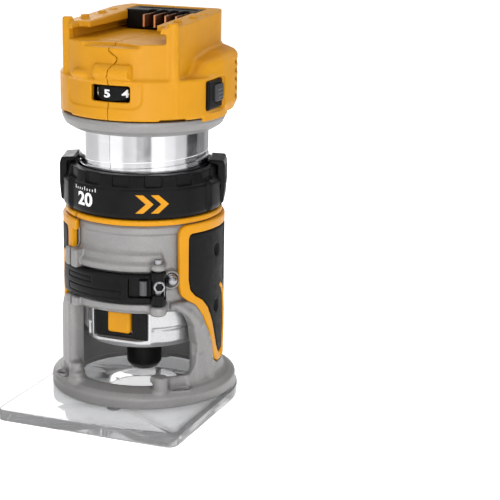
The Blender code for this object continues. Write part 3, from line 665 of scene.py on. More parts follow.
def leg_skin(side):
    """The leg's outer wall below a grip, down to the foot."""
    line = [(a, z - 0.4) for a, z, _ in grip_line(side, 0)]
    if side == "right":
        edge = [(WINDOW_RIGHT, 12), (WINDOW_RIGHT, 38), (WINDOW_RIGHT - 3, 47), (-34, 54), (-44, 60)]
        outline = edge + line[2:] + [(62, 22), (64, 12)]
        outer = LEG_RADIUS
    else:
        outline = [(WINDOW_LEFT, 12), (WINDOW_LEFT, 60.5), (-131, 61)] + line[3:] + [(-228, 22), (-229, 12)]
        outer = 44.6
    return wrapped(outline, 37.5, outer, 0.9)


def foot(clay):
    clay.add(spun(softened([(38.8, 6.4, 0.5), (FOOT_RADIUS, 6.4, 0.7), (FOOT_RADIUS, 12.2, 1.8),
                            (47, 14.2, 3), (41, 16.0, 1.5), (38.8, 16.0, 1.0)])))


def legs(clay):
    wall = [(36.5, 10), (39.4, 10), (39.4, 58), (36.5, 58)]
    clay.add(sector(wall, WINDOW_RIGHT, WINDOW_LEFT + 360, 0.6), 1.5)
    for side in ("right", "left"):
        clay.add(leg_skin(side), 2.5)
    clay.add(sector([(38, 12), (43.6, 12), (42.8, 24), (42.6, 26), (38, 26)], 60, 136, 0.8), 3)
    # A raised rib along each window edge stiffens the leg, and flows out into the foot.
    right_rib = [(42, 60.3), (32, 55), (21, 46.8), (14, 39), (11, 34.6), (10, 25), (9, 16.4), (7, 11.5)]
    for (a, za), (b, zb) in zip(right_rib, right_rib[1:]):
        clay.add(rod((*around(42.2, -a), za), (*around(42.2, -b), zb), 1.5, 0.8), 2.6)
    clay.add(rod((*around(41.8, WINDOW_LEFT - 2), 58), (*around(42.2, WINDOW_LEFT - 2), 14), 2.1, 1.0), 3)
    # The arch over the bit window closes in at its upper right corner.
    arch = [(-46, 57.5), (-36, 56.4), (-30, 52.5), (-26.5, 46), (-24.6, 38), (-18, 38), (-18, 61), (-46, 61)]
    clay.add(wrapped(arch, 36.6, 42.2, 0.8), 2)
    toe = [(-24.6, 30), (-25.5, 25), (-30, 20.5), (-38, 17.5), (-46, 16), (-46, 12), (-18, 12), (-18, 30)]
    clay.add(wrapped(toe, 38.9, 43.0, 0.8), 2)


def foot_posts(clay):
    clay.add(rod((-21.6, -38.4, 10), (-21.6, -38.4, 19.5), 4.0, 1.2), 2.5)
    clay.add(rod((-22.8, -36.2, 10), (-22.8, -36.2, 24), 3.3, 1.4), 3)
    clay.add(rod((25.9, -35.9, 10), (25.9, -35.9, 22.4), 4.1, 1.0), 1.5)
    clay.add(block((20.9, 26), (-38.6, -33.6), (19.0, 22.4), 0.8), 1.0)
    clay.add(wrapped([(-52, 12), (-20, 12), (-20, 20.5), (-52, 20.5)], 39.2, 42.4, 0.8), 1.5)
    # Raised oval seats with paired screw holes, one each side.
    for (ax, ay), (bx, by) in (((-35.6, -28.8), (-29.7, -34.2)), ((31.1, -30.9), (36.6, -26.2))):
        for grow, height in ((3.6, 14.6), (2.7, 13.2)):
            seat = plan(stadium((ax, ay), (bx, by), grow), 9, height, 0.5)
            if height > 14:
                clay.add(seat, 1.0)
            else:
                clay.cut(plan(stadium((ax, ay), (bx, by), grow), height + 0.6, 20, 0.3), 0.5)
        for x, y in ((ax, ay), (bx, by)):
            clay.cut(rod((x, y, 8.5), (x, y, 20), 1.5), 0.3)


def stadium(a, b, radius):
    """An outline of that radius round the line from a to b."""
    heading = math.degrees(math.atan2(b[1] - a[1], b[0] - a[0]))
    return arc(a, radius, heading + 90, heading + 270, 10) + arc(b, radius, heading - 90, heading + 90, 10)


def collar(clay):
    clay.add(spun(softened([(COLLAR_BORE, COLLAR_BOTTOM, 0.5), (40.2, COLLAR_BOTTOM, 1.0),
                            (COLLAR_RADIUS, 62, 2),
                            (COLLAR_RADIUS, 97.5, 1.0), (40.3, 98.6, 0.5), (40.3, 101.4, 0.5),
                            (COLLAR_RADIUS, 102.6, 0.4), (COLLAR_RADIUS, COLLAR_TOP, 0.3),
                            (COLLAR_BORE, COLLAR_TOP, 0.5)])), 2.0)
    ridge = softened([(38.5, 78.8, 0), (43.0, 78.8, 1.0), (43.3, 82.4, 1.4), (41.4, 84.0, 1.2),
                      (40.9, 87.4, 0.9), (39.2, 89.2, 1.0), (38.5, 89.2, 0)])
    clay.add(sector(ridge, SLIT_ANGLE - 3, -51, 2.0), 1.2)
    lip = softened([(38.5, 56.2, 0), (41.3, 56.2, 0.8), (43.2, 58.2, 1.2), (43.2, 61.7, 0.9), (38.5, 61.7, 0)])
    clay.add(sector(lip, SLIT_ANGLE - 9, -48, 1.6), 1.4)
    clay.cut(wrapped([(-103, 50), (-101, 57.8), (-57, 57.4), (-55, 50)], 40.6, 47, 0.3), 0.6)
    clay.cut(ball((*around(43.2, -113), 86.6), (1.5, 1.5, 0.8)), 0.4)


def hinge_and_slit(clay):
    away = math.degrees(math.atan2(LEVER_PIVOT[1], LEVER_PIVOT[0]))
    reach = math.hypot(*LEVER_PIVOT)
    for bottom, top, radius in ((56.3, 61.7, 4.4), (80.4, 84.2, 3.8)):
        nose = arc((reach, 0), radius, -90, 90, 12)
        outline = [(37.0, -radius), *nose, (37.0, radius)]
        clay.add(plan(outline, bottom, top, 1.5).facing(away), 2.5)
    for low, high in ((77.6, 87.4), (56.4, 61.4)):
        clay.add(block((38, 45.6), (-5.4, 5.8), (low, high), 0.7).facing(SLIT_ANGLE + 0.5), 0.8)
    clay.cut(block((41.2, 44.3), (-4.1, -1.9), (81.5, 90), 0.4).facing(SLIT_ANGLE + 0.5), 0.3)
    clay.cut(block((30, 52), (-0.9, 0.9), (50, 110), 0.05).facing(SLIT_ANGLE))
    clay.cut(rod((*LEVER_PIVOT, 57.6), (*LEVER_PIVOT, 83.6), 2.1))
    # A round recess beside the hinge holds the bolt that sets the lever's pull.
    clay.add(rod(around(36, -45.5) + (74,), around(42.4, -45.5) + (74,), 5.2, 1.2), 2.0)
    clay.cut(rod(around(38, -45.5) + (74,), around(48, -45.5) + (74,), 3.9, 0.6), 0.4)
    clay.cut(rod(around(30, 84) + (98,), around(44, 84) + (98,), 1.9))


def base_casting():
    clay = Clay((-FOOT_RADIUS, -FOOT_RADIUS, 6.3), (FOOT_RADIUS, FOOT_RADIUS, COLLAR_TOP), COARSE)
    foot(clay)
    legs(clay)
    foot_posts(clay)
    collar(clay)
    spine = [(38.6, 20), (41.8, 20), (41.8, 102), (38.6, 102)]
    clay.add(sector(spine, 63.6, 131.8, 0.8), 1.5)
    hinge_and_slit(clay)
    clay.cut(spun([(0, 55.8), (COLLAR_BORE, 55.8), (COLLAR_BORE, 110), (0, 110)]))
    clay.cut(spun([(0, 0), (36.5, 0), (36.5, 56.0), (0, 56.0)]), 0.6)
    for angle in (30, 100, 170, -86):
        clay.cut(rod((*around(45, angle), 0), (*around(45, angle), 11.5), 2.1, 0.05))
    sculpted("base_body", clay, "base", "cast_grey", ("base_casting",))


def collar_band():
    """The yellow ring over the collar, cut through at the slit, with small notches above."""
    clay = Clay((-43.5, -43.5, 97), (43.5, 43.5, 106.2))
    clay.add(spun(softened([(35.5, 103.2, 0.2), (41.9, 103.2, 0.9), (41.9, 106.0, 0.9), (35.5, 106.1, 0.2)])))
    clay.cut(block((30, 52), (-0.9, 0.9), (90, 110), 0.05).facing(SLIT_ANGLE))
    for angle in range(-160, 200, 13):
        clay.cut(block((41.2, 43), (-0.35, 0.35), (105.2, 108), 0.1).facing(angle), 0.1)
    sculpted("collar_ring", clay, "base", "yellow_trim", ("collar_band",))


def grip_shape(side, share):
    """The outline of a grip's edging, or of the rubber that lies a share of the way inside it."""
    sign, start = (1, RIGHT_GRIP_EDGE) if side == "right" else (-1, LEFT_GRIP_EDGE)
    top = EDGING_TOP[0] + (EDGING_TOP[1] - EDGING_TOP[0]) * share
    low = grip_line(side, share)
    turn = share * EDGING_INNER[0][0]
    if side == "right":
        front = [(start + turn, top, 6 - 3 * share)]
    else:
        turn = share * 7
        front = [(start - turn, top, 1.2 + 2 * share), (start - turn, 79.6 + 3.6 * share, 2),
                 (start - 14.6 - turn, 79.6 + 3.6 * share, 1), (start - 14.6 - turn, 60 + 3 * share, 2)]
        low = [corner for corner in low if corner[0] < start - 15.5 - turn]
    end = start + sign * (GRIP_SPAN - 0.3)
    return front + low + [(end, 22.2 + 5 * share, 2), (end, top, 2)]


def shell_box(side, low, high):
    angles = range(-42, 66, 3) if side == "right" else range(-230, -123, 3)
    points = [around(45, a) for a in angles] + [around(39, a) for a in angles]
    return ((min(p[0] for p in points), min(p[1] for p in points), low),
            (max(p[0] for p in points), max(p[1] for p in points), high))


def grips():
    for side in ("right", "left"):
        name, outline = f"grip_{side}", grip_shape(side, 1.0)
        rubber = Clay(*shell_box(side, 22, 103))
        rubber.add(soft_wrap(outline, GRIP_INNER, GRIP_RADIUS, 1.1))
        middle = -3 if side == "right" else -163
        for height in (85.5, 54.6):
            rubber.cut(ball((*around(44.4, middle), height), (3.1, 3.1, 3.9)), 0.5)
        sign = 1 if side == "right" else -1
        for step in range(6):
            turn = middle + sign * (14 + 5.4 * step)
            rubber.cut(wrapped([(turn - 0.55, 66), (turn + 0.55, 66), (turn + 0.55, 97), (turn - 0.55, 97)],
                               42.9, 45, 0.2), 0.4)
        sculpted(f"{name}_rubber", rubber, "base", "black_grip", (name,))
        trim = Clay(*shell_box(side, 21.5, 103))
        trim.add(soft_wrap(grip_shape(side, 0.02), 40.0, 43.45, 0.9))
        trim.cut(soft_wrap(grip_shape(side, 0.94), 38, 46, 0.1))
        if side == "right":
            # A second yellow line runs up the back of the grip's lower tongue.
            back = [(3, 65.6), (7, 63.4), (10.5, 59), (13, 50), (13, 40), (11, 30), (7, 23.5)]
            for (a, za), (b, zb) in zip(back, back[1:]):
                trim.add(rod((*around(43.1, a), za), (*around(43.1, b), zb), 1.1, 0.4), 0.4)
        if side == "left":
            tongue = [(-126.4, 97.2, 0.8), (-113.6, 97.2, 0.8), (-113.6, 102.6, 0.8), (-126.4, 102.6, 0.8)]
            trim.add(soft_wrap(tongue, 40.4, GRIP_RADIUS, 0.7), 0.5)
        sculpted(f"grip_edging_{side}", trim, "base", "yellow_trim", (f"grip_trim_{side}",))


def sub_base():
    """The clear D-shaped plate: a filled curve with its holes, raised and rounded at its edges."""
    low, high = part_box("sub_base")
    half, front = (high.x - low.x) / 2 / MM, low.y / MM - SPINDLE_Y
    edge, rounding, middle = 0.9, 6.0, 3.0
    corner = half - rounding
    outline = (arc((-corner, front + rounding), rounding - edge, 180, 270, 8)
               + arc((corner, front + rounding), rounding - edge, -90, 0, 8)
               + arc((0, 0), half - edge, 0, 180, 72))
    holes = [arc((0, 0), 19.5 + edge, 0, 357, 119)]
    for angle in (30, 100, 170, -86):
        holes.append(arc(around(45, angle), 2.4 + edge, 0, 345, 23))
    curve = bpy.data.curves.new("sub_base_outline", "CURVE")
    curve.dimensions = "2D"
    curve.fill_mode = "BOTH"
    for points in [outline] + holes:
        spline = curve.splines.new("POLY")
        spline.points.add(len(points) - 1)
        for point, (x, y) in zip(spline.points, points):
            point.co = (x * MM, (y + SPINDLE_Y) * MM, 0, 1)
        spline.use_cyclic_u = True
    curve.extrude = (middle - edge) * MM
    curve.bevel_depth = edge * MM
    curve.bevel_resolution = 3
    helper = bpy.data.objects.new("helper", curve)
    bpy.context.collection.objects.link(helper)
    helper.location.z = middle * MM
    bpy.context.view_layer.update()
    mesh = bpy.data.meshes.new_from_object(helper.evaluated_get(bpy.context.evaluated_depsgraph_get()))
    bpy.data.objects.remove(helper)
    mesh.transform(Matrix.Translation((0, 0, middle * MM)))
    work = bmesh.new()
    work.from_mesh(mesh)
    bmesh.ops.remove_doubles(work, verts=work.verts, dist=0.00001)
    bmesh.ops.recalc_face_normals(work, faces=work.faces)
    work.to_mesh(mesh)
    work.free()
    mesh.shade_smooth()
    mesh.set_sharp_from_angle(angle=math.radians(50))
    made = piece("clear_plate", mesh, "base", "clear_base", ("sub_base",))
    made.visible_shadow = False


def lever():
    """The clamping lever, wrapped round the collar, with its hinge boss and roller pocket."""
    clay = Clay((-35, -46, 61.5), (31, -22, 80.6), FINE * 0.9)
    side = softened([(41.1, 62.1, 0.4), (44.6, 62.1, 1.4), (45.0, 70, 6), (44.6, 77.9, 1.4),
                     (41.1, 77.9, 0.4)])
    clay.add(sector(side, -137, -60, 1.0))
    clay.add(rod((*LEVER_PIVOT, 62.2), (*LEVER_PIVOT, 80.2), 4.2, 0.6), 1.0)
    clay.cut(wrapped([(-58.8, 66.0), (-51, 66.0), (-51, 77), (-58.8, 77)], 41.5, 48, 0.3), 0.3)
    clay.add(rod((*LEVER_PIVOT, 62.2), (*LEVER_PIVOT, 80.2), 3.1, 0.3))
    clay.cut(spun([(46, 68), (52, 68), (52, 70), (46, 70)]), 0.2)
    clay.cut(soft_wrap([(-76, 65.8, 1), (-60, 65.8, 1), (-60, 76.0, 1), (-76, 76.0, 1)], 42.4, 48, 0.3), 0.3)
    for a, b, low, high in ((-127, -81, 64.8, 69.2), (-127, -103, 71.9, 75.2)):
        panel = soft_wrap([(a, low, 0.8), (b, low, 0.8), (b, high, 0.8), (a, high, 0.8)], 44.4, 47, 0.1)
        inner = soft_wrap([(a + 0.8, low + 0.6, 0.6), (b - 0.8, low + 0.6, 0.6), (b - 0.8, high - 0.6, 0.6),
                           (a + 0.8, high - 0.6, 0.6)], 40, 48, 0.1)
        clay.cut(Form(lambda spot, p=panel, q=inner: np.maximum(p.distance(spot), -q.distance(spot)),
                      panel.low, panel.high))
    clay.cut(rod((*LEVER_PIVOT, 50), (*LEVER_PIVOT, 90), 2.1, 0.05))
    sculpted("lever_moulding", clay, "lever", "black_moulding", ("clamp_lever",))
    away = math.degrees(math.atan2(LEVER_PIVOT[1], LEVER_PIVOT[0]))
    reach = math.hypot(*LEVER_PIVOT)
    bolt = Clay((18, -45, 66), (33, -30, 78), FINE * 0.6)
    bolt.add(rod((*around(reach + 2.9, away), 72.8), (*around(reach + 0.9, away), 72.8), 3.2, 0.5))
    bolt.add(rod((*around(reach + 1.5, away), 72.8), (*around(reach + 4.6, away), 72.8), 3.1, 0.7), 0.3)
    hexagon = arc((0, 0), 2.2, 0, 300, 5)
    socket = plan(hexagon, reach + 1.8, reach + 8, 0.05)
    bolt.cut(Form(lambda spot: socket.distance(seen_from_side(spot, away, 72.8)),
                  (18, -48, 69), (33, -30, 77)))
    sculpted("hinge_screw", bolt, "lever", "steel")


def seen_from_side(spot, angle, height):
    """Places as seen by a form drawn up the Z axis, now laid outward at an angle and height."""
    turned = spot.turned(angle)
    full = turned.x + 0 * turned.y + 0 * spot.z
    return Spot(turned.y + 0 * full, spot.z - height + 0 * full, full, spot.step)


def tension_bolt():
    clay = Clay((24, -36, 68), (36, -24, 80), FINE * 0.6)
    inward, outward = around(38.2, -45.5), around(42.4, -45.5)
    clay.add(rod((*inward, 74), (*outward, 74), 3.6, 0.3))
    clay.add(ball((*around(41.7, -45.5), 74), (3.3, 3.3, 3.3)), 0.5)
    sculpted("pull_bolt", clay, "base", "steel", ("tension_bolt",))


# ---------------------------------------------------------------------------------------------
# Depth ring and tabs
# ---------------------------------------------------------------------------------------------

def depth_ring():
    clay = Clay((-46, -46, 106), (46, 46, 130))
    clay.add(spun(softened([(35.3, 106.4, 0.3), (40.6, 106.4, 0.8), (41.4, 108.4, 1.2), (41.4, 121.6, 0.5),
                            (41.0, 122.2, 0.3), (41.2, 122.8, 0.3), (40.4, 129.3, 0.9), (35.3, 129.3, 0.8)])))
    for step in range(15):
        angle = -82.5 + 24 * step
        pocket = [(angle - 6.4, 123.4, 0.6), (angle + 6.4, 123.4, 0.6), (angle + 6.4, 131, 0.6),
                  (angle - 6.4, 131, 0.6)]
        clay.cut(soft_wrap(pocket, 39.7, 44, 0.25), 0.25)
    for side, angle in TAB_ANGLES.items():
        bulge = softened([(38, 107.4, 0), (42.6, 107.4, 1.6), (43.3, 110, 1.5), (43.3, 122.2, 1.2),
                          (41.4, 124.0, 1.0), (38, 124.0, 0)])
        clay.add(sector(bulge, angle - 32, angle + 32, 2.4), 1.2)
        clay.cut(block((36.9, 52), (-11, 11), (108, 124.2), 0.4).facing(angle), 0.6)
        clay.cut(block((39.0, 52), (-11, 11), (120, 140), 0.4).facing(angle), 0.6)
        across = (40.0, 12.6, 119.0)
        clay.cut(rod((across[0], -across[1], across[2]), (across[0], across[1], across[2]), 1.6).facing(angle))
        clay.cut(block((34, 40), (-2, 2), (finger_height(side) - 1.6, 135), 0.3).facing(angle), 0.2)
    sculpted("ring_moulding", clay, "ring", "black_moulding", ("depth_ring",))


def release_tabs():
    """Each tab is a paddle with a dished thumb pad, a rounded top and its hinge barrel."""
    side_view = softened([(39.4, 108.8, 0.8), (43.2, 109.4, 1.6), (44.0, 119, 8), (43.9, 129.2, 3),
                          (43.0, 132.2, 1.2),
                          (36.0, 132.6, 0.6), (35.4, 132.0, 0.3), (35.4, 130.2, 0.5), (39.6, 129.9, 0.8),
                          (39.3, 121, 2)])
    for side, angle in TAB_ANGLES.items():
        low, high = (-46, -31, 108), (-25, 5, 133)
        if side == "right":
            low, high = (28, -3, 108), (46, 28, 133)
        clay = Clay(low, high, FINE * 0.9)
        clay.add(profile(side_view, 10.6, 1.0).facing(angle))
        clay.cut(block((43.2, 50), (-7.6, 7.6), (112, 128), 0.5).facing(angle), 1.0)
        for ridge in (113.6, 116.2, 122.6, 125.2):
            clay.add(rod((43.1, -6.4, ridge), (43.1, 6.4, ridge), 0.55, 0.2).facing(angle), 0.4)
        clay.cut(rod((40.0, -20, 119.0), (40.0, 20, 119.0), 1.6, 0.05).facing(angle))
        height = finger_height(side)
        clay.add(block((34.0, 39.8), (-1.5, 1.5), (height - 0.9, height + 0.9), 0.2).facing(angle))
        sculpted(f"tab_paddle_{side}", clay, f"tab_{side}", "black_moulding", (f"release_tab_{side}",))


# ---------------------------------------------------------------------------------------------
# Motor
# ---------------------------------------------------------------------------------------------

def motor_barrel():
    """The turned barrel. Its rows follow the helix, so that the groove's edges run clean."""
    turns = 10
    angles = sorted({-96.45, -96.4, -96.0, -95.6, -95.55, 80.5, 80.6, 87.4, 87.5,
                     *(-180 + 2.0 * i for i in range(180))})
    rows = [-5.0, -3.4, -1.75, -1.68, -1.45, -1.38, 0, 1.38, 1.45, 1.68, 1.75, 3.4]
    drops = [0, 0, 0, 0.10, 0.12, 0.9, 0.9, 0.9, 0.12, 0.10, 0, 0]
    bottom, top = 58.3, 149.2
    points = []
    for turn in range(-turns, 3):
        for v, drop in zip(rows, drops):
            for angle in angles:
                z = groove_height(angle) + turn * GROOVE_PITCH + v
                along = angle + turn * 360
                radius = BARREL_RADIUS - (drop if -1835 < along < 170 else 0)
                if -96.42 < angle < -95.58:
                    radius -= 0.5
                if 80.55 < angle < 87.45:
                    radius = 32.3
                points.append((*around(radius, angle), min(max(z, bottom), top)))
    width, per_turn = len(angles), len(rows)
    count = len(points) // width
    work = bmesh.new()
    verts = [work.verts.new((x * MM, (y + SPINDLE_Y) * MM, z * MM)) for x, y, z in points]
    for row in range(count - 1):
        for i in range(width):
            shift = per_turn if i == width - 1 else 0
            if row + 1 + shift >= count:
                continue
            j = (i + 1) % width
            corners = (row * width + i, (row + shift) * width + j,
                       (row + 1 + shift) * width + j, (row + 1) * width + i)
            work.faces.new([verts[k] for k in corners])
    bmesh.ops.remove_doubles(work, verts=work.verts, dist=0.000004)
    bmesh.ops.dissolve_degenerate(work, edges=work.edges, dist=0.000002)
    loose = [v for v in work.verts if not v.link_faces]
    bmesh.ops.delete(work, geom=loose, context="VERTS")
    mesh = bpy.data.meshes.new("barrel")
    work.to_mesh(mesh)
    work.free()
    mesh.shade_smooth()
    mesh.set_sharp_from_angle(angle=math.radians(35))
    barrel = piece("barrel_skin", mesh, "motor", "bright_barrel", ("motor_barrel",))
    bore = [(31.3, 149.2), (31.3, 58.3), (34.4, 58.3), (34.4, 58.2), (31.2, 58.2), (31.2, 149.2)]
    inside = lathe("barrel_bore", bore, 96)
    piece("barrel_bore", inside, "motor", "bright_barrel")
    return barrel


def lathe(name, outline, segments=96, ease=35):
    """Spins a closed (radius, height) outline about the axis."""
    work = bmesh.new()
    rings = []
    for r, z in outline:
        if r == 0:
            rings.append([work.verts.new((0, SPINDLE_Y * MM, z * MM))] * segments)
            continue
        ring = []
        for i in range(segments):
            x, y = around(r, 360 * i / segments)
            ring.append(work.verts.new((x * MM, (y + SPINDLE_Y) * MM, z * MM)))
        rings.append(ring)
    for a, b in zip(rings, rings[1:] + rings[:1]):
        for i in range(segments):
            j = (i + 1) % segments
            corners = list(dict.fromkeys((a[i], a[j], b[j], b[i])))
            if len(corners) > 2:
                work.faces.new(corners)
    bmesh.ops.recalc_face_normals(work, faces=work.faces)
    mesh = bpy.data.meshes.new(name)
    work.to_mesh(mesh)
    work.free()
    mesh.shade_smooth()
    mesh.set_sharp_from_angle(angle=math.radians(ease))
    return mesh


def motor_flange():
    clay = Clay((-43.5, -43.5, 148.8), (43.5, 43.5, 157.5))
    clay.add(spun(softened([(11.3, 157.3, 0.5), (11.3, 149, 0.5), (36.4, 149, 0.4), (38.0, 149.1, 1.2),
                            (41.8, 151.4, 3.5),
                            (43.3, 155, 1.5), (43.3, 157.3, 0.5)])))
    sculpted("motor_flange", clay, "motor", "cast_grey")


def nose():
    """The bright end of the motor: two tiers, a flat front for the lock, and two lamp seats."""
    clay = Clay((-34.6, -34.6, 34.4), (34.6, 34.6, 66.2))
    clay.add(spun(softened([
        (13.5, 36, 0.4), (13.5, 50, 1), (29.2, 50, 2), (29.2, 37.5, 1.5), (30.2, 34.6, 0.4), (31.8, 34.6, 0.4),
        (33.4, 37.6, 1.0), (33.8, 43.4, 0.6), (33.2, 44.4, 0.4), (33.2, 45.2, 0.4), (34.3, 46.0, 0.4),
        (34.3, 58, 0.6),
        (30.9, 58, 0.5), (30.9, 66, 0.5), (15.3, 66, 0.5), (15.3, 56, 0.3), (10.3, 56, 0.3), (10.3, 36, 0.4)])))
    clay.add(block((-16.6, 17.6), (-33.2, -27), (36.6, 56), 1.2), 1.6)
    clay.cut(block((-20, 15.9), (-42, -31.2), (38.8, 57.5), 0.4), 0.5)
    clay.cut(block((-15.4, 16.2), (-42, -28.7), (39.2, 57.5), 0.4), 0.3)
    clay.cut(block((-6.9, 7.5), (-40, -13.2), (41.7, 54.9), 0.3))
    clay.cut(rod((0, -20, 49), (0, -6, 49), 2.7, 0.05))
    for angle in (-134, 46):
        clay.cut(block((30.4, 40), (-4.3, 4.3), (40.7, 52.3), 0.3).facing(angle), 0.3)
        clay.add(block((28, 34.0), (4.6, 6.2), (38, 55), 0.3).facing(angle), 0.3)
        clay.add(block((28, 34.0), (-6.2, -4.6), (38, 55), 0.3).facing(angle), 0.3)
    clay.cut(spun([(0, 30), (10.3, 30), (10.3, 70), (0, 70)]))
    clay.cut(spun([(34.5, 30), (42, 30), (42, 70), (34.5, 70)]), 0.3)
    clay.cut(spun([(13.5, 30), (29.2, 30), (29.2, 49), (13.5, 49)], 0.0), 0.5)
    sculpted("nose_casting", clay, "motor", "nose_bright", ("nose_housing",))


def lock_parts():
    plate = Clay((-15, -31.6, 39), (16, -28.4, 56), FINE * 0.7)
    plate.add(block((-14.5, 15.3), (-31.0, -28.8), (39.5, 55.0), 0.5))
    plate.cut(block((-6.7, 7.2), (-40, -20), (41.8, 54.8), 0.4), 0.2)
    sculpted("lock_surround", plate, "motor", "black_moulding", ("lock_plate",))
    button = Clay((-6.6, -33.6, 41.8), (7.2, -9, 55), FINE * 0.7)
    button.add(block((-6.2, 6.7), (-33.3, -23), (42.3, 54.3), 1.5))
    button.cut(ball((0.2, -37.6, 48.3), (12, 4.6, 12)), 0.4)
    button.add(rod((0, -24, 49), (0, -10.4, 49), 2.1, 0.3))
    sculpted("lock_cap", button, "lock", "yellow_trim", ("lock_button",))


def collet_nut():
    """A black nut with a rounded end, two spanner flats and a chamfered bore."""
    clay = Clay((-10, -10, 13.9), (10, 10, 34.2), FINE * 0.8)
    clay.add(spun(softened([(4.6, 14, 0.4), (7.0, 14, 1.6), (9.5, 17.2, 2.4), (9.5, 34, 0.7), (6.8, 34, 0.4),
                            (6.8, 19.2, 0.4), (4.6, 19.2, 0.4)])))
    for angle in (-120, 60):
        clay.cut(block((8.9, 14), (-8, 8), (25.5, 32), 0.3).facing(angle), 0.3)
    sculpted("nut_body", clay, "rotor_shaft", "black_nut", ("collet_nut",))


# ---------------------------------------------------------------------------------------------
# Head
# ---------------------------------------------------------------------------------------------

SEAM = [(-60, 150), (0.15, 150), (0.15, 180.2), (1.0, 181), (1.4, 184), (3.2, 186.2), (4.6, 188.2), (4.6, 190),
        (0.15, 193), (0.15, 210), (-60, 210)]


def head_plan(radius, half_width, back, corner):
    """A plan outline: round at the front, flat at the sides, and with big soft corners behind."""
    flank = -math.degrees(math.acos(min((half_width - 2.2) / radius, 1)))
    right = arc((0, 0), radius, -90, flank, 26)
    right += arc((half_width - corner, back - corner), corner, 0, 90, 16)
    return right + [(-x, y) for x, y in reversed(right[1:])]


def head_mass(clay):
    """The belt round the dial, the shoulder behind it, and the battery's receptacle on top."""
    clay.add(plan(head_plan(HEAD_RADIUS, 44.2, 42, 30), HEAD_BOTTOM, 178.4, 1.3))
    upper = softened([(x, y, 0) for x, y in arc((0, 0), 42.5, -136, -44, 30)]
                     + [(32, -29.5, 2.5), (31.6, 28, 8), (27, 41.4, 4), (-27, 41.4, 4), (-31.6, 28, 8),
                        (-32, -29.5, 2.5)])
    clay.add(plan(upper, 160, 207.8, 1.0), 1.6)
    # The shoulder climbs in a soft curve from the ledge beside each pillar to its full height.
    outline = softened([(-37, -18, 8), (37, -18, 8), (44.6, 2, 14), (44.8, 24, 20), (30, 41.6, 20),
                        (-30, 41.6, 20), (-44.8, 24, 20), (-44.6, 2, 14)])
    climb = softened([(-26, 160, 0), (-26, 177.4, 2), (-16, 178.6, 6), (-8, 186.0, 6), (8, 188.6, 9),
                      (44, 189.6, 0), (44, 160, 0)])

    def shoulder(spot):
        rise = looked_up(climb, spot.y + 0 * spot.x, spot.z, spot.step)
        return both(outline_distance(outline, spot.x, spot.y) + 0 * spot.z, rise, 3.4)
    clay.add(Form(shoulder, (-45, -27, 160), (45, 44, 190)), 2.5)


def head_front(clay):
    """The dial window's scooped panel, the clip hump over it, and the seams."""
    panel = soft_wrap([(-127, 164.2, 6), (-66.5, 164.2, 6), (-66.5, 177.0, 2), (-127, 177.0, 2)], 43.35, 48, 0.5)
    clay.cut(panel, 0.8)
    clay.add(rod((-7.6, -42.2, 182.4), (12.6, -42.2, 182.4), 4.2, 1.4), 0.6)
    clay.add(ball((-16.5, -38.6, 180.2), (6.5, 4.4, 2.6)), 1.5)
    clay.cut(ball((15.4, -45.0, 181.8), (3.6, 2.6, 4.0)), 1.2)
    clay.cut(block((-8.9, -8.0), (-47, -41.2), (179.2, 186.2), 0.3), 0.3)
    clay.cut(block((-9.9, 11.4), (-50, -34), (167.3, 175.7), 1.3), 0.5)
    clay.cut(sector([(30, 165.6), (41.4, 165.6), (41.4, 176.4), (30, 176.4)], -107, -72), 0.3)
    for start, end in ((-139, -123), (-55, -36)):
        clay.cut(wrapped([(start, 150), (end, 150), (end, 158.8), (start, 158.8)], 41, 46, 0.2), 0.2)
    for start, end in ((-22, 70), (110, 202)):
        clay.add(wrapped([(start, 155.9), (end, 155.9), (end, 160), (start, 160)], 42.6, 44.1, 0.3), 0.3)


def head_battery_bay(clay):
    """The slide-on battery's bay: floor, rails, side walls with posts, and its front lip."""
    clay.cut(block((-27, 27), (-60, 37), (196.5, 201.6), 0.8), 0.6)
    clay.cut(block((-18.6, 18.6), (-60, 37), (200, 220), 0.8), 0.6)
    # The front opening curves up into the pillars on either side.
    mouth = softened([(-25.8, 240, 0), (-25.8, 196.6, 13), (25.8, 196.6, 13), (25.8, 240, 0)])
    clay.cut(profile(mouth, 17, 1.5).facing(0, (0, -42.5)), 1.2)
    slope = [(-60, 204.6), (-30, 204.6), (10, 206.3), (45, 207.9), (45, 230), (-60, 230)]
    clay.cut(Form(lambda spot: looked_up(slope, spot.y + 0 * spot.x, spot.z, spot.step) + 0 * spot.x,
                  (-40, -60, 203), (40, 50, 230)), 0.6)
    clay.cut(block((-20.4, 20.4), (19.6, 36.9), (196.0, 220), 0.4), 0.3)
    # The floor dips to a crescent at its front, behind a thin lip.
    clay.cut(Form(lambda spot: both(np.hypot(spot.x, spot.y + 62) - 27.5, np.abs(spot.z - 199) - 4.4, 0.8),
                  (-28, -60, 194), (28, -34, 204)), 1.0)
    for sign in (1, -1):
        clay.add(rod((sign * 29.4, -29.2, 177), (sign * 29.4, -29.2, 207.2), 2.7, 1.0), 1.6)
        for y in (-18, 2, 15):
            clay.add(block(tuple(sorted((sign * 24.5, sign * 28))), (y, y + 4), (201.6, 207.2), 0.5), 0.6)


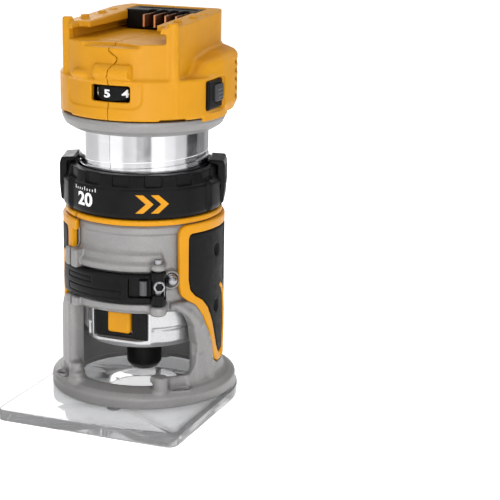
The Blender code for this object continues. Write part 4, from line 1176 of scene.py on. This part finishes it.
def head_flanks(clay):
    """Switch recess, cooling slots and the cavities inside."""
    low, high = SWITCH_HEIGHTS
    clay.cut(block((41.8, 55), (SWITCH_SPAN[0] - 0.9, SWITCH_SPAN[1] + 0.9), (low - 0.9, high + 0.9), 2.0), 0.8)
    clay.cut(block((36, 55), (SWITCH_SPAN[0] + 0.1, SWITCH_SPAN[1] - 0.1), (low + 0.1, high - 0.1), 1.2), 0.2)
    for sign in (1, -1):
        for z in (164, 168.4, 172.8, 177.2, 181.6):
            slot = block((37.5, 60), (-4.5, 4.5), (z, z + 2.2), 0.6)
            clay.cut(slot.facing(90 - sign * 68, (0, 4)), 0.5)
            clay.cut(slot.facing(90 - sign * 46, (0, 4)), 0.5)
    clay.cut(plan(arc((0, 0), 37.8, -234, 54, 60), 160.5, 176.4, 0.5))
    clay.cut(block((-28, 28), (-14, 30), (170, 190.2), 0.5))
    clay.cut(rod((0, 0, 150), (0, 0, 170), 13, 0.1))


SCREW_PLACES = ((34, 165, -32), (34, 187, -32), (-22, 187, -31.3), (34, 176, -32))


def head():
    clay = Clay((-46, -46.8, 155.4), (46, 42.6, 208.2), FINE * 1.05)
    head_mass(clay)
    head_front(clay)
    head_battery_bay(clay)
    head_flanks(clay)
    for y, z, seat in SCREW_PLACES:
        clay.cut(rod((-60, y, z), (seat, y, z), 3.5, 0.05), 0.3)
        clay.cut(rod((-60, y, z), (25, y, z), 2.0, 0.05))
    seam = Form(lambda spot: looked_up(SEAM, spot.x + 0 * spot.y, spot.z, spot.step),
                (-60, -60, 150), (60, 60, 215))
    whole = clay.field.copy()
    clay.cut(seam)
    sculpted("head_half_right", clay, "motor", "yellow_shell", ("housing_right",))
    clay.field = whole
    clay.cut(Form(lambda spot: -seam.distance(spot) - 0.3 + 0 * spot.z, seam.low, seam.high))
    sculpted("head_half_left", clay, "motor", "yellow_shell", ("housing_left",))


def text_mesh(text, size, thickness, stretch=1.0):
    """Flat lettering in millimetres, centred on its origin, widened by a stretch."""
    curve = bpy.data.curves.new("print", "FONT")
    curve.body, curve.size = text, size * MM
    curve.align_x, curve.align_y = "CENTER", "CENTER"
    curve.offset = 0.028 * size * MM
    curve.extrude = thickness / 2 * MM
    helper = bpy.data.objects.new("helper", curve)
    bpy.context.collection.objects.link(helper)
    bpy.context.view_layer.update()
    mesh = bpy.data.meshes.new_from_object(helper.evaluated_get(bpy.context.evaluated_depsgraph_get()))
    bpy.data.objects.remove(helper)
    mesh.transform(Matrix.Diagonal((stretch, 1, 1, 1)))
    return mesh


def wrap_print(mesh, centre, radius, angle, height, turned=0.0):
    """Wraps a flat print in millimetres round a vertical cylinder, centred at an angle."""
    work = bmesh.new()
    work.from_mesh(mesh)
    bmesh.ops.remove_doubles(work, verts=work.verts, dist=0.000002)
    bmesh.ops.triangulate(work, faces=[f for f in work.faces if len(f.verts) > 4])
    bmesh.ops.subdivide_edges(work, edges=[e for e in work.edges if e.calc_length() > 0.0012], cuts=2)
    c, s = math.cos(math.radians(turned)), math.sin(math.radians(turned))
    for vert in work.verts:
        u, v = vert.co.x * c - vert.co.y * s, vert.co.x * s + vert.co.y * c
        turn = angle + math.degrees(u / (radius * MM))
        x, y = around(radius + vert.co.z / MM, turn)
        vert.co = ((x + centre[0]) * MM, (y + centre[1] + SPINDLE_Y) * MM, height * MM + v)
    work.to_mesh(mesh)
    work.free()
    return mesh


def speed_dial():
    """A finely ribbed wheel with its numbers round a smooth band."""
    low, high = 168.0, 175.2
    clay = Clay((-10, -44, 161.8), (12, -22, 175.6), FINE * 0.7)
    x, y = DIAL_CENTRE

    def wheel(spot):
        radius = np.hypot(spot.x - x, spot.y - y)
        turn = np.arctan2(spot.y - y, spot.x - x)
        ribs = 0.12 * np.cos(turn * 60) * (np.abs(spot.z - 171.6) > 2.4)
        return both(radius - 10.25 + ribs, np.abs(spot.z - (low + high) / 2) - (high - low) / 2, 0.4)
    clay.add(Form(wheel, (-10, -44, low), (12, -22, high)))
    clay.add(rod((x, y, 162), (x, y, 169), 2, 0.2))
    sculpted("dial_wheel", clay, "dial", "black_moulding", ("speed_dial",))
    for number in range(1, 7):
        angle = -97 - 54 * (number - 5)
        mesh = wrap_print(text_mesh(str(number), 5.4, 0.2, 1.45), DIAL_CENTRE, 10.36, angle, 171.4)
        piece(f"dial_number_{number}", mesh, "dial", "white_print")


def switch():
    """A tall bezel round a ribbed key."""
    bezel = Clay((40.5, -15.2, 160.6), (43.9, 6.6, 177.4), FINE * 0.7)
    bezel.add(block((41.0, 43.2), (-14.4, 3.7), (161.5, 176.4), 0.9))
    bezel.cut(block((30, 60), (-7.0, 3.3), (164.6, 174.4), 0.8), 0.4)
    sculpted("switch_surround", bezel, "motor", "black_moulding", ("switch_bezel",))
    key = Clay((37.4, -7.0, 164.8), (44.7, 3.4, 174.2), FINE * 0.6)
    key.add(block((37.6, 44.3), (-6.6, 3.0), (165.0, 174.0), 0.9))
    for height in (167.5, 169.5, 171.5):
        key.add(rod((44.2, -4.8, height), (44.2, 1.2, height), 0.4, 0.2), 0.2)
    sculpted("switch_key", key, "switch", "grey_button", ("power_button",))


def terminal_parts():
    clay = Clay((-20.4, 19.6, 196.6), (20.4, 37, 207.4), FINE * 0.9)
    clay.add(block((-20, 20), (20, 36.6), (196.8, 207.0), 0.7))
    for x in (-4.4, 1.8, 8.0, 14.2):
        clay.cut(block((x - 2.2, x + 2.2), (15, 25), (197.5, 212), 0.3), 0.2)
    clay.cut(block((-17, 17), (29, 33.5), (205.8, 211), 0.4), 0.3)
    sculpted("terminal_carrier", clay, "motor", "black_moulding", ("terminal_block",))


# ---------------------------------------------------------------------------------------------
# Prints, carried-over nodes and studio
# ---------------------------------------------------------------------------------------------

def flat_print(outlines, thickness):
    """A thin raised print from plain outlines in millimetres."""
    work = bmesh.new()
    for outline in outlines:
        low = [work.verts.new((x * MM, y * MM, -thickness / 2 * MM)) for x, y in outline]
        high = [work.verts.new((x * MM, y * MM, thickness / 2 * MM)) for x, y in outline]
        work.faces.new(list(reversed(low)))
        work.faces.new(high)
        for i in range(len(outline)):
            j = (i + 1) % len(outline)
            work.faces.new((low[i], low[j], high[j], high[i]))
    mesh = bpy.data.meshes.new("print")
    work.to_mesh(mesh)
    work.free()
    return mesh


def ring_prints():
    """A depth scale's numbers and ticks, and two arrowheads for the way the ring turns."""
    numbers = wrap_print(text_mesh("20", 9.6, 0.12, 1.15), (0, 0), 41.46, -113, 114.2)
    piece("scale_number", numbers, "ring", "white_print")
    ticks = []
    for i in range(9):
        x, tall = -7.6 + i * 1.9, 1.9 if i % 4 == 0 else 1.1
        ticks.append([(x - 0.2, 0), (x + 0.2, 0), (x + 0.2, tall), (x - 0.2, tall)])
    piece("scale_ticks", wrap_print(flat_print(ticks, 0.12), (0, 0), 41.46, -113, 119.2), "ring",
          "white_print")
    arrows = []
    for start in (-9.0, -1.0):
        arrows.append([(start, 4.8), (start + 4.0, 4.8), (start + 9.4, 0), (start + 5.4, 0)])
        arrows.append([(start + 5.4, 0), (start + 9.4, 0), (start + 4.0, -4.8), (start, -4.8)])
    mesh = wrap_print(flat_print(arrows, 0.12), (0, 0), 41.46, -59, 114.8)
    piece("turn_arrows", mesh, "ring", "yellow_trim")


def carried_over():
    """Gives every CAD node that still shows a worked material, and eased edges."""
    finishes = {
        "steel": ["sub_base_screw_1", "sub_base_screw_2", "sub_base_screw_3", "sub_base_screw_4", "lever_pin",
                  "guide_pin", "tab_pin_left", "tab_pin_right", "lock_spring", "upper_bearing",
                  "lower_bearing", "spindle", "rotor", "collet", "housing_screw_1", "housing_screw_2",
                  "housing_screw_3", "housing_screw_4"],
        "dull_steel": ["lever_roller"],
        "copper": ["stator", "terminal_blade_1", "terminal_blade_2", "terminal_blade_3", "terminal_blade_4"],
        "black_moulding": ["cooling_fan", "speed_sensor"],
        "board_green": ["controller_board"],
        "lens": ["work_light_left", "work_light_right"],
    }
    for finish, names in finishes.items():
        for name in names:
            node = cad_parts[name]
            node.data.materials.clear()
            node.data.materials.append(MATERIALS[finish])
            bevel = node.modifiers.new("eased", "BEVEL")
            bevel.width = 0.25 * MM
            bevel.segments = 2
            bevel.limit_method = "ANGLE"
            bevel.angle_limit = math.radians(50)


def aim(obj, target):
    obj.rotation_euler = (Vector(target) - obj.location).to_track_quat("-Z", "Y").to_euler()


def light(name, place, target, size, power, height=None):
    data = bpy.data.lights.new(name, "AREA")
    data.energy, data.size = power, size
    if height:
        data.shape, data.size_y = "RECTANGLE", height
    made = bpy.data.objects.new(name, data)
    bpy.context.collection.objects.link(made)
    made.location = place
    aim(made, target)


def camera():
    """Stands where the photographer stood, with the router left of the middle of the view."""
    azimuth, distance, height = math.radians(24.9), 821.93, 299.94
    data = bpy.data.cameras.new("camera")
    data.lens, data.sensor_width = 112.67, 36
    data.clip_start, data.clip_end = 0.01, 100
    made = bpy.data.objects.new("camera", data)
    bpy.context.collection.objects.link(made)
    made.location = Vector((math.sin(azimuth) * distance, SPINDLE_Y - math.cos(azimuth) * distance, height)) * MM
    level = Matrix.Rotation(azimuth, 3, "Z") @ Matrix.Rotation(math.pi / 2 - 0.2459, 3, "X")
    ahead = level @ Vector((0, 0, -1))
    framed = (level @ Vector((0.06759, -0.01598, -1))).normalized()
    turn = ahead.rotation_difference(framed).to_matrix() @ level
    made.rotation_euler = turn.to_euler()
    bpy.context.scene.camera = made


# Name, start and end angle, and grey level of each studio card
CARDS = [("card_left_back", -188, -150, 0.5), ("card_left", -150, -127, 0.75),
         ("card_front_left", -127, -102, 0.9), ("card_front_soft", -102, -78, 0.5),
         ("card_front", -78, -66, 0.2), ("card_front_edge", -66, -53, 0.1),
         ("card_middle", -53, -30, 0.95), ("card_right_front", -30, -10, 0.7),
         ("card_right", -10, 13, 0.5), ("card_side", 13, 40, 0.004),
         ("card_back", 40, 66, 0.16), ("card_far", 66, 95, 0.3)]


def card(name, start, end, grey):
    """A curved card that only bright surfaces see, standing round the router between two angles."""
    radius, low, high = 560, 0, 420
    work = bmesh.new()
    edges = []
    for i in range(13):
        x, y = around(radius, start + (end - start) * i / 12)
        edges.append([work.verts.new((x * MM, (y + SPINDLE_Y) * MM, z * MM)) for z in (low, high)])
    for a, b in zip(edges, edges[1:]):
        work.faces.new((a[0], b[0], b[1], a[1]))
    mesh = bpy.data.meshes.new(name)
    work.to_mesh(mesh)
    work.free()
    made = bpy.data.objects.new(name, mesh)
    bpy.context.collection.objects.link(made)
    mesh.materials.append(moulded(f"{name}_cloth", (grey, grey, grey), 0.9, grain=1.5, shine=0.1))
    for ray in ("camera", "shadow", "diffuse", "transmission"):
        setattr(made, f"visible_{ray}", False)


def studio():
    """The pale floor, soft lights all round, and the cards that bright metal mirrors."""
    low, high = CAD_BOX
    middle = ((low[0] + high[0]) / 2, (low[1] + high[1]) / 2, (low[2] + high[2]) / 2)
    work = bmesh.new()
    bmesh.ops.create_grid(work, x_segments=2, y_segments=2, size=6)
    mesh = bpy.data.meshes.new("floor")
    work.to_mesh(mesh)
    work.free()
    floor = bpy.data.objects.new("floor", mesh)
    bpy.context.collection.objects.link(floor)
    floor.location.z = low[2] - 0.0002
    mesh.materials.append(floor_paper("studio_paper"))
    light("key", (-0.55, -1.1, 0.95), middle, 0.7, 3.4, 0.9)
    light("fill", (0.95, -0.75, 0.55), middle, 0.5, 5, 0.9)
    light("low", (0.3, -0.75, 0.14), (0, 0, 0.03), 0.3, 1.9, 0.2)
    light("top", (0.0, 0.1, 1.5), middle, 1.3, 3.5)
    light("rim", (0.7, 1.0, 0.7), middle, 0.6, 4, 0.9)
    light("back", (-0.8, 0.9, 0.6), middle, 0.6, 5, 0.9)
    sun = bpy.data.lights.new("sky", "SUN")
    sun.energy, sun.angle = 0.8, math.radians(60)
    made = bpy.data.objects.new("sky", sun)
    bpy.context.collection.objects.link(made)
    made.location = (-0.3, -0.2, 2)
    aim(made, (0, 0, 0))
    for name, start, end, grey in CARDS:
        card(name, start, end, grey)
    world = bpy.data.worlds.new("studio")
    world.use_nodes = True
    world.node_tree.nodes["Background"].inputs["Color"].default_value = (1, 1, 1, 1)
    world.node_tree.nodes["Background"].inputs["Strength"].default_value = 0.34
    bpy.context.scene.world = world
    bpy.context.scene.view_settings.view_transform = "Standard"


base_casting()
collar_band()
grips()
sub_base()
lever()
tension_bolt()
depth_ring()
release_tabs()
motor_barrel()
motor_flange()
nose()
lock_parts()
collet_nut()
head()
speed_dial()
switch()
terminal_parts()
ring_prints()
carried_over()
camera()
studio()
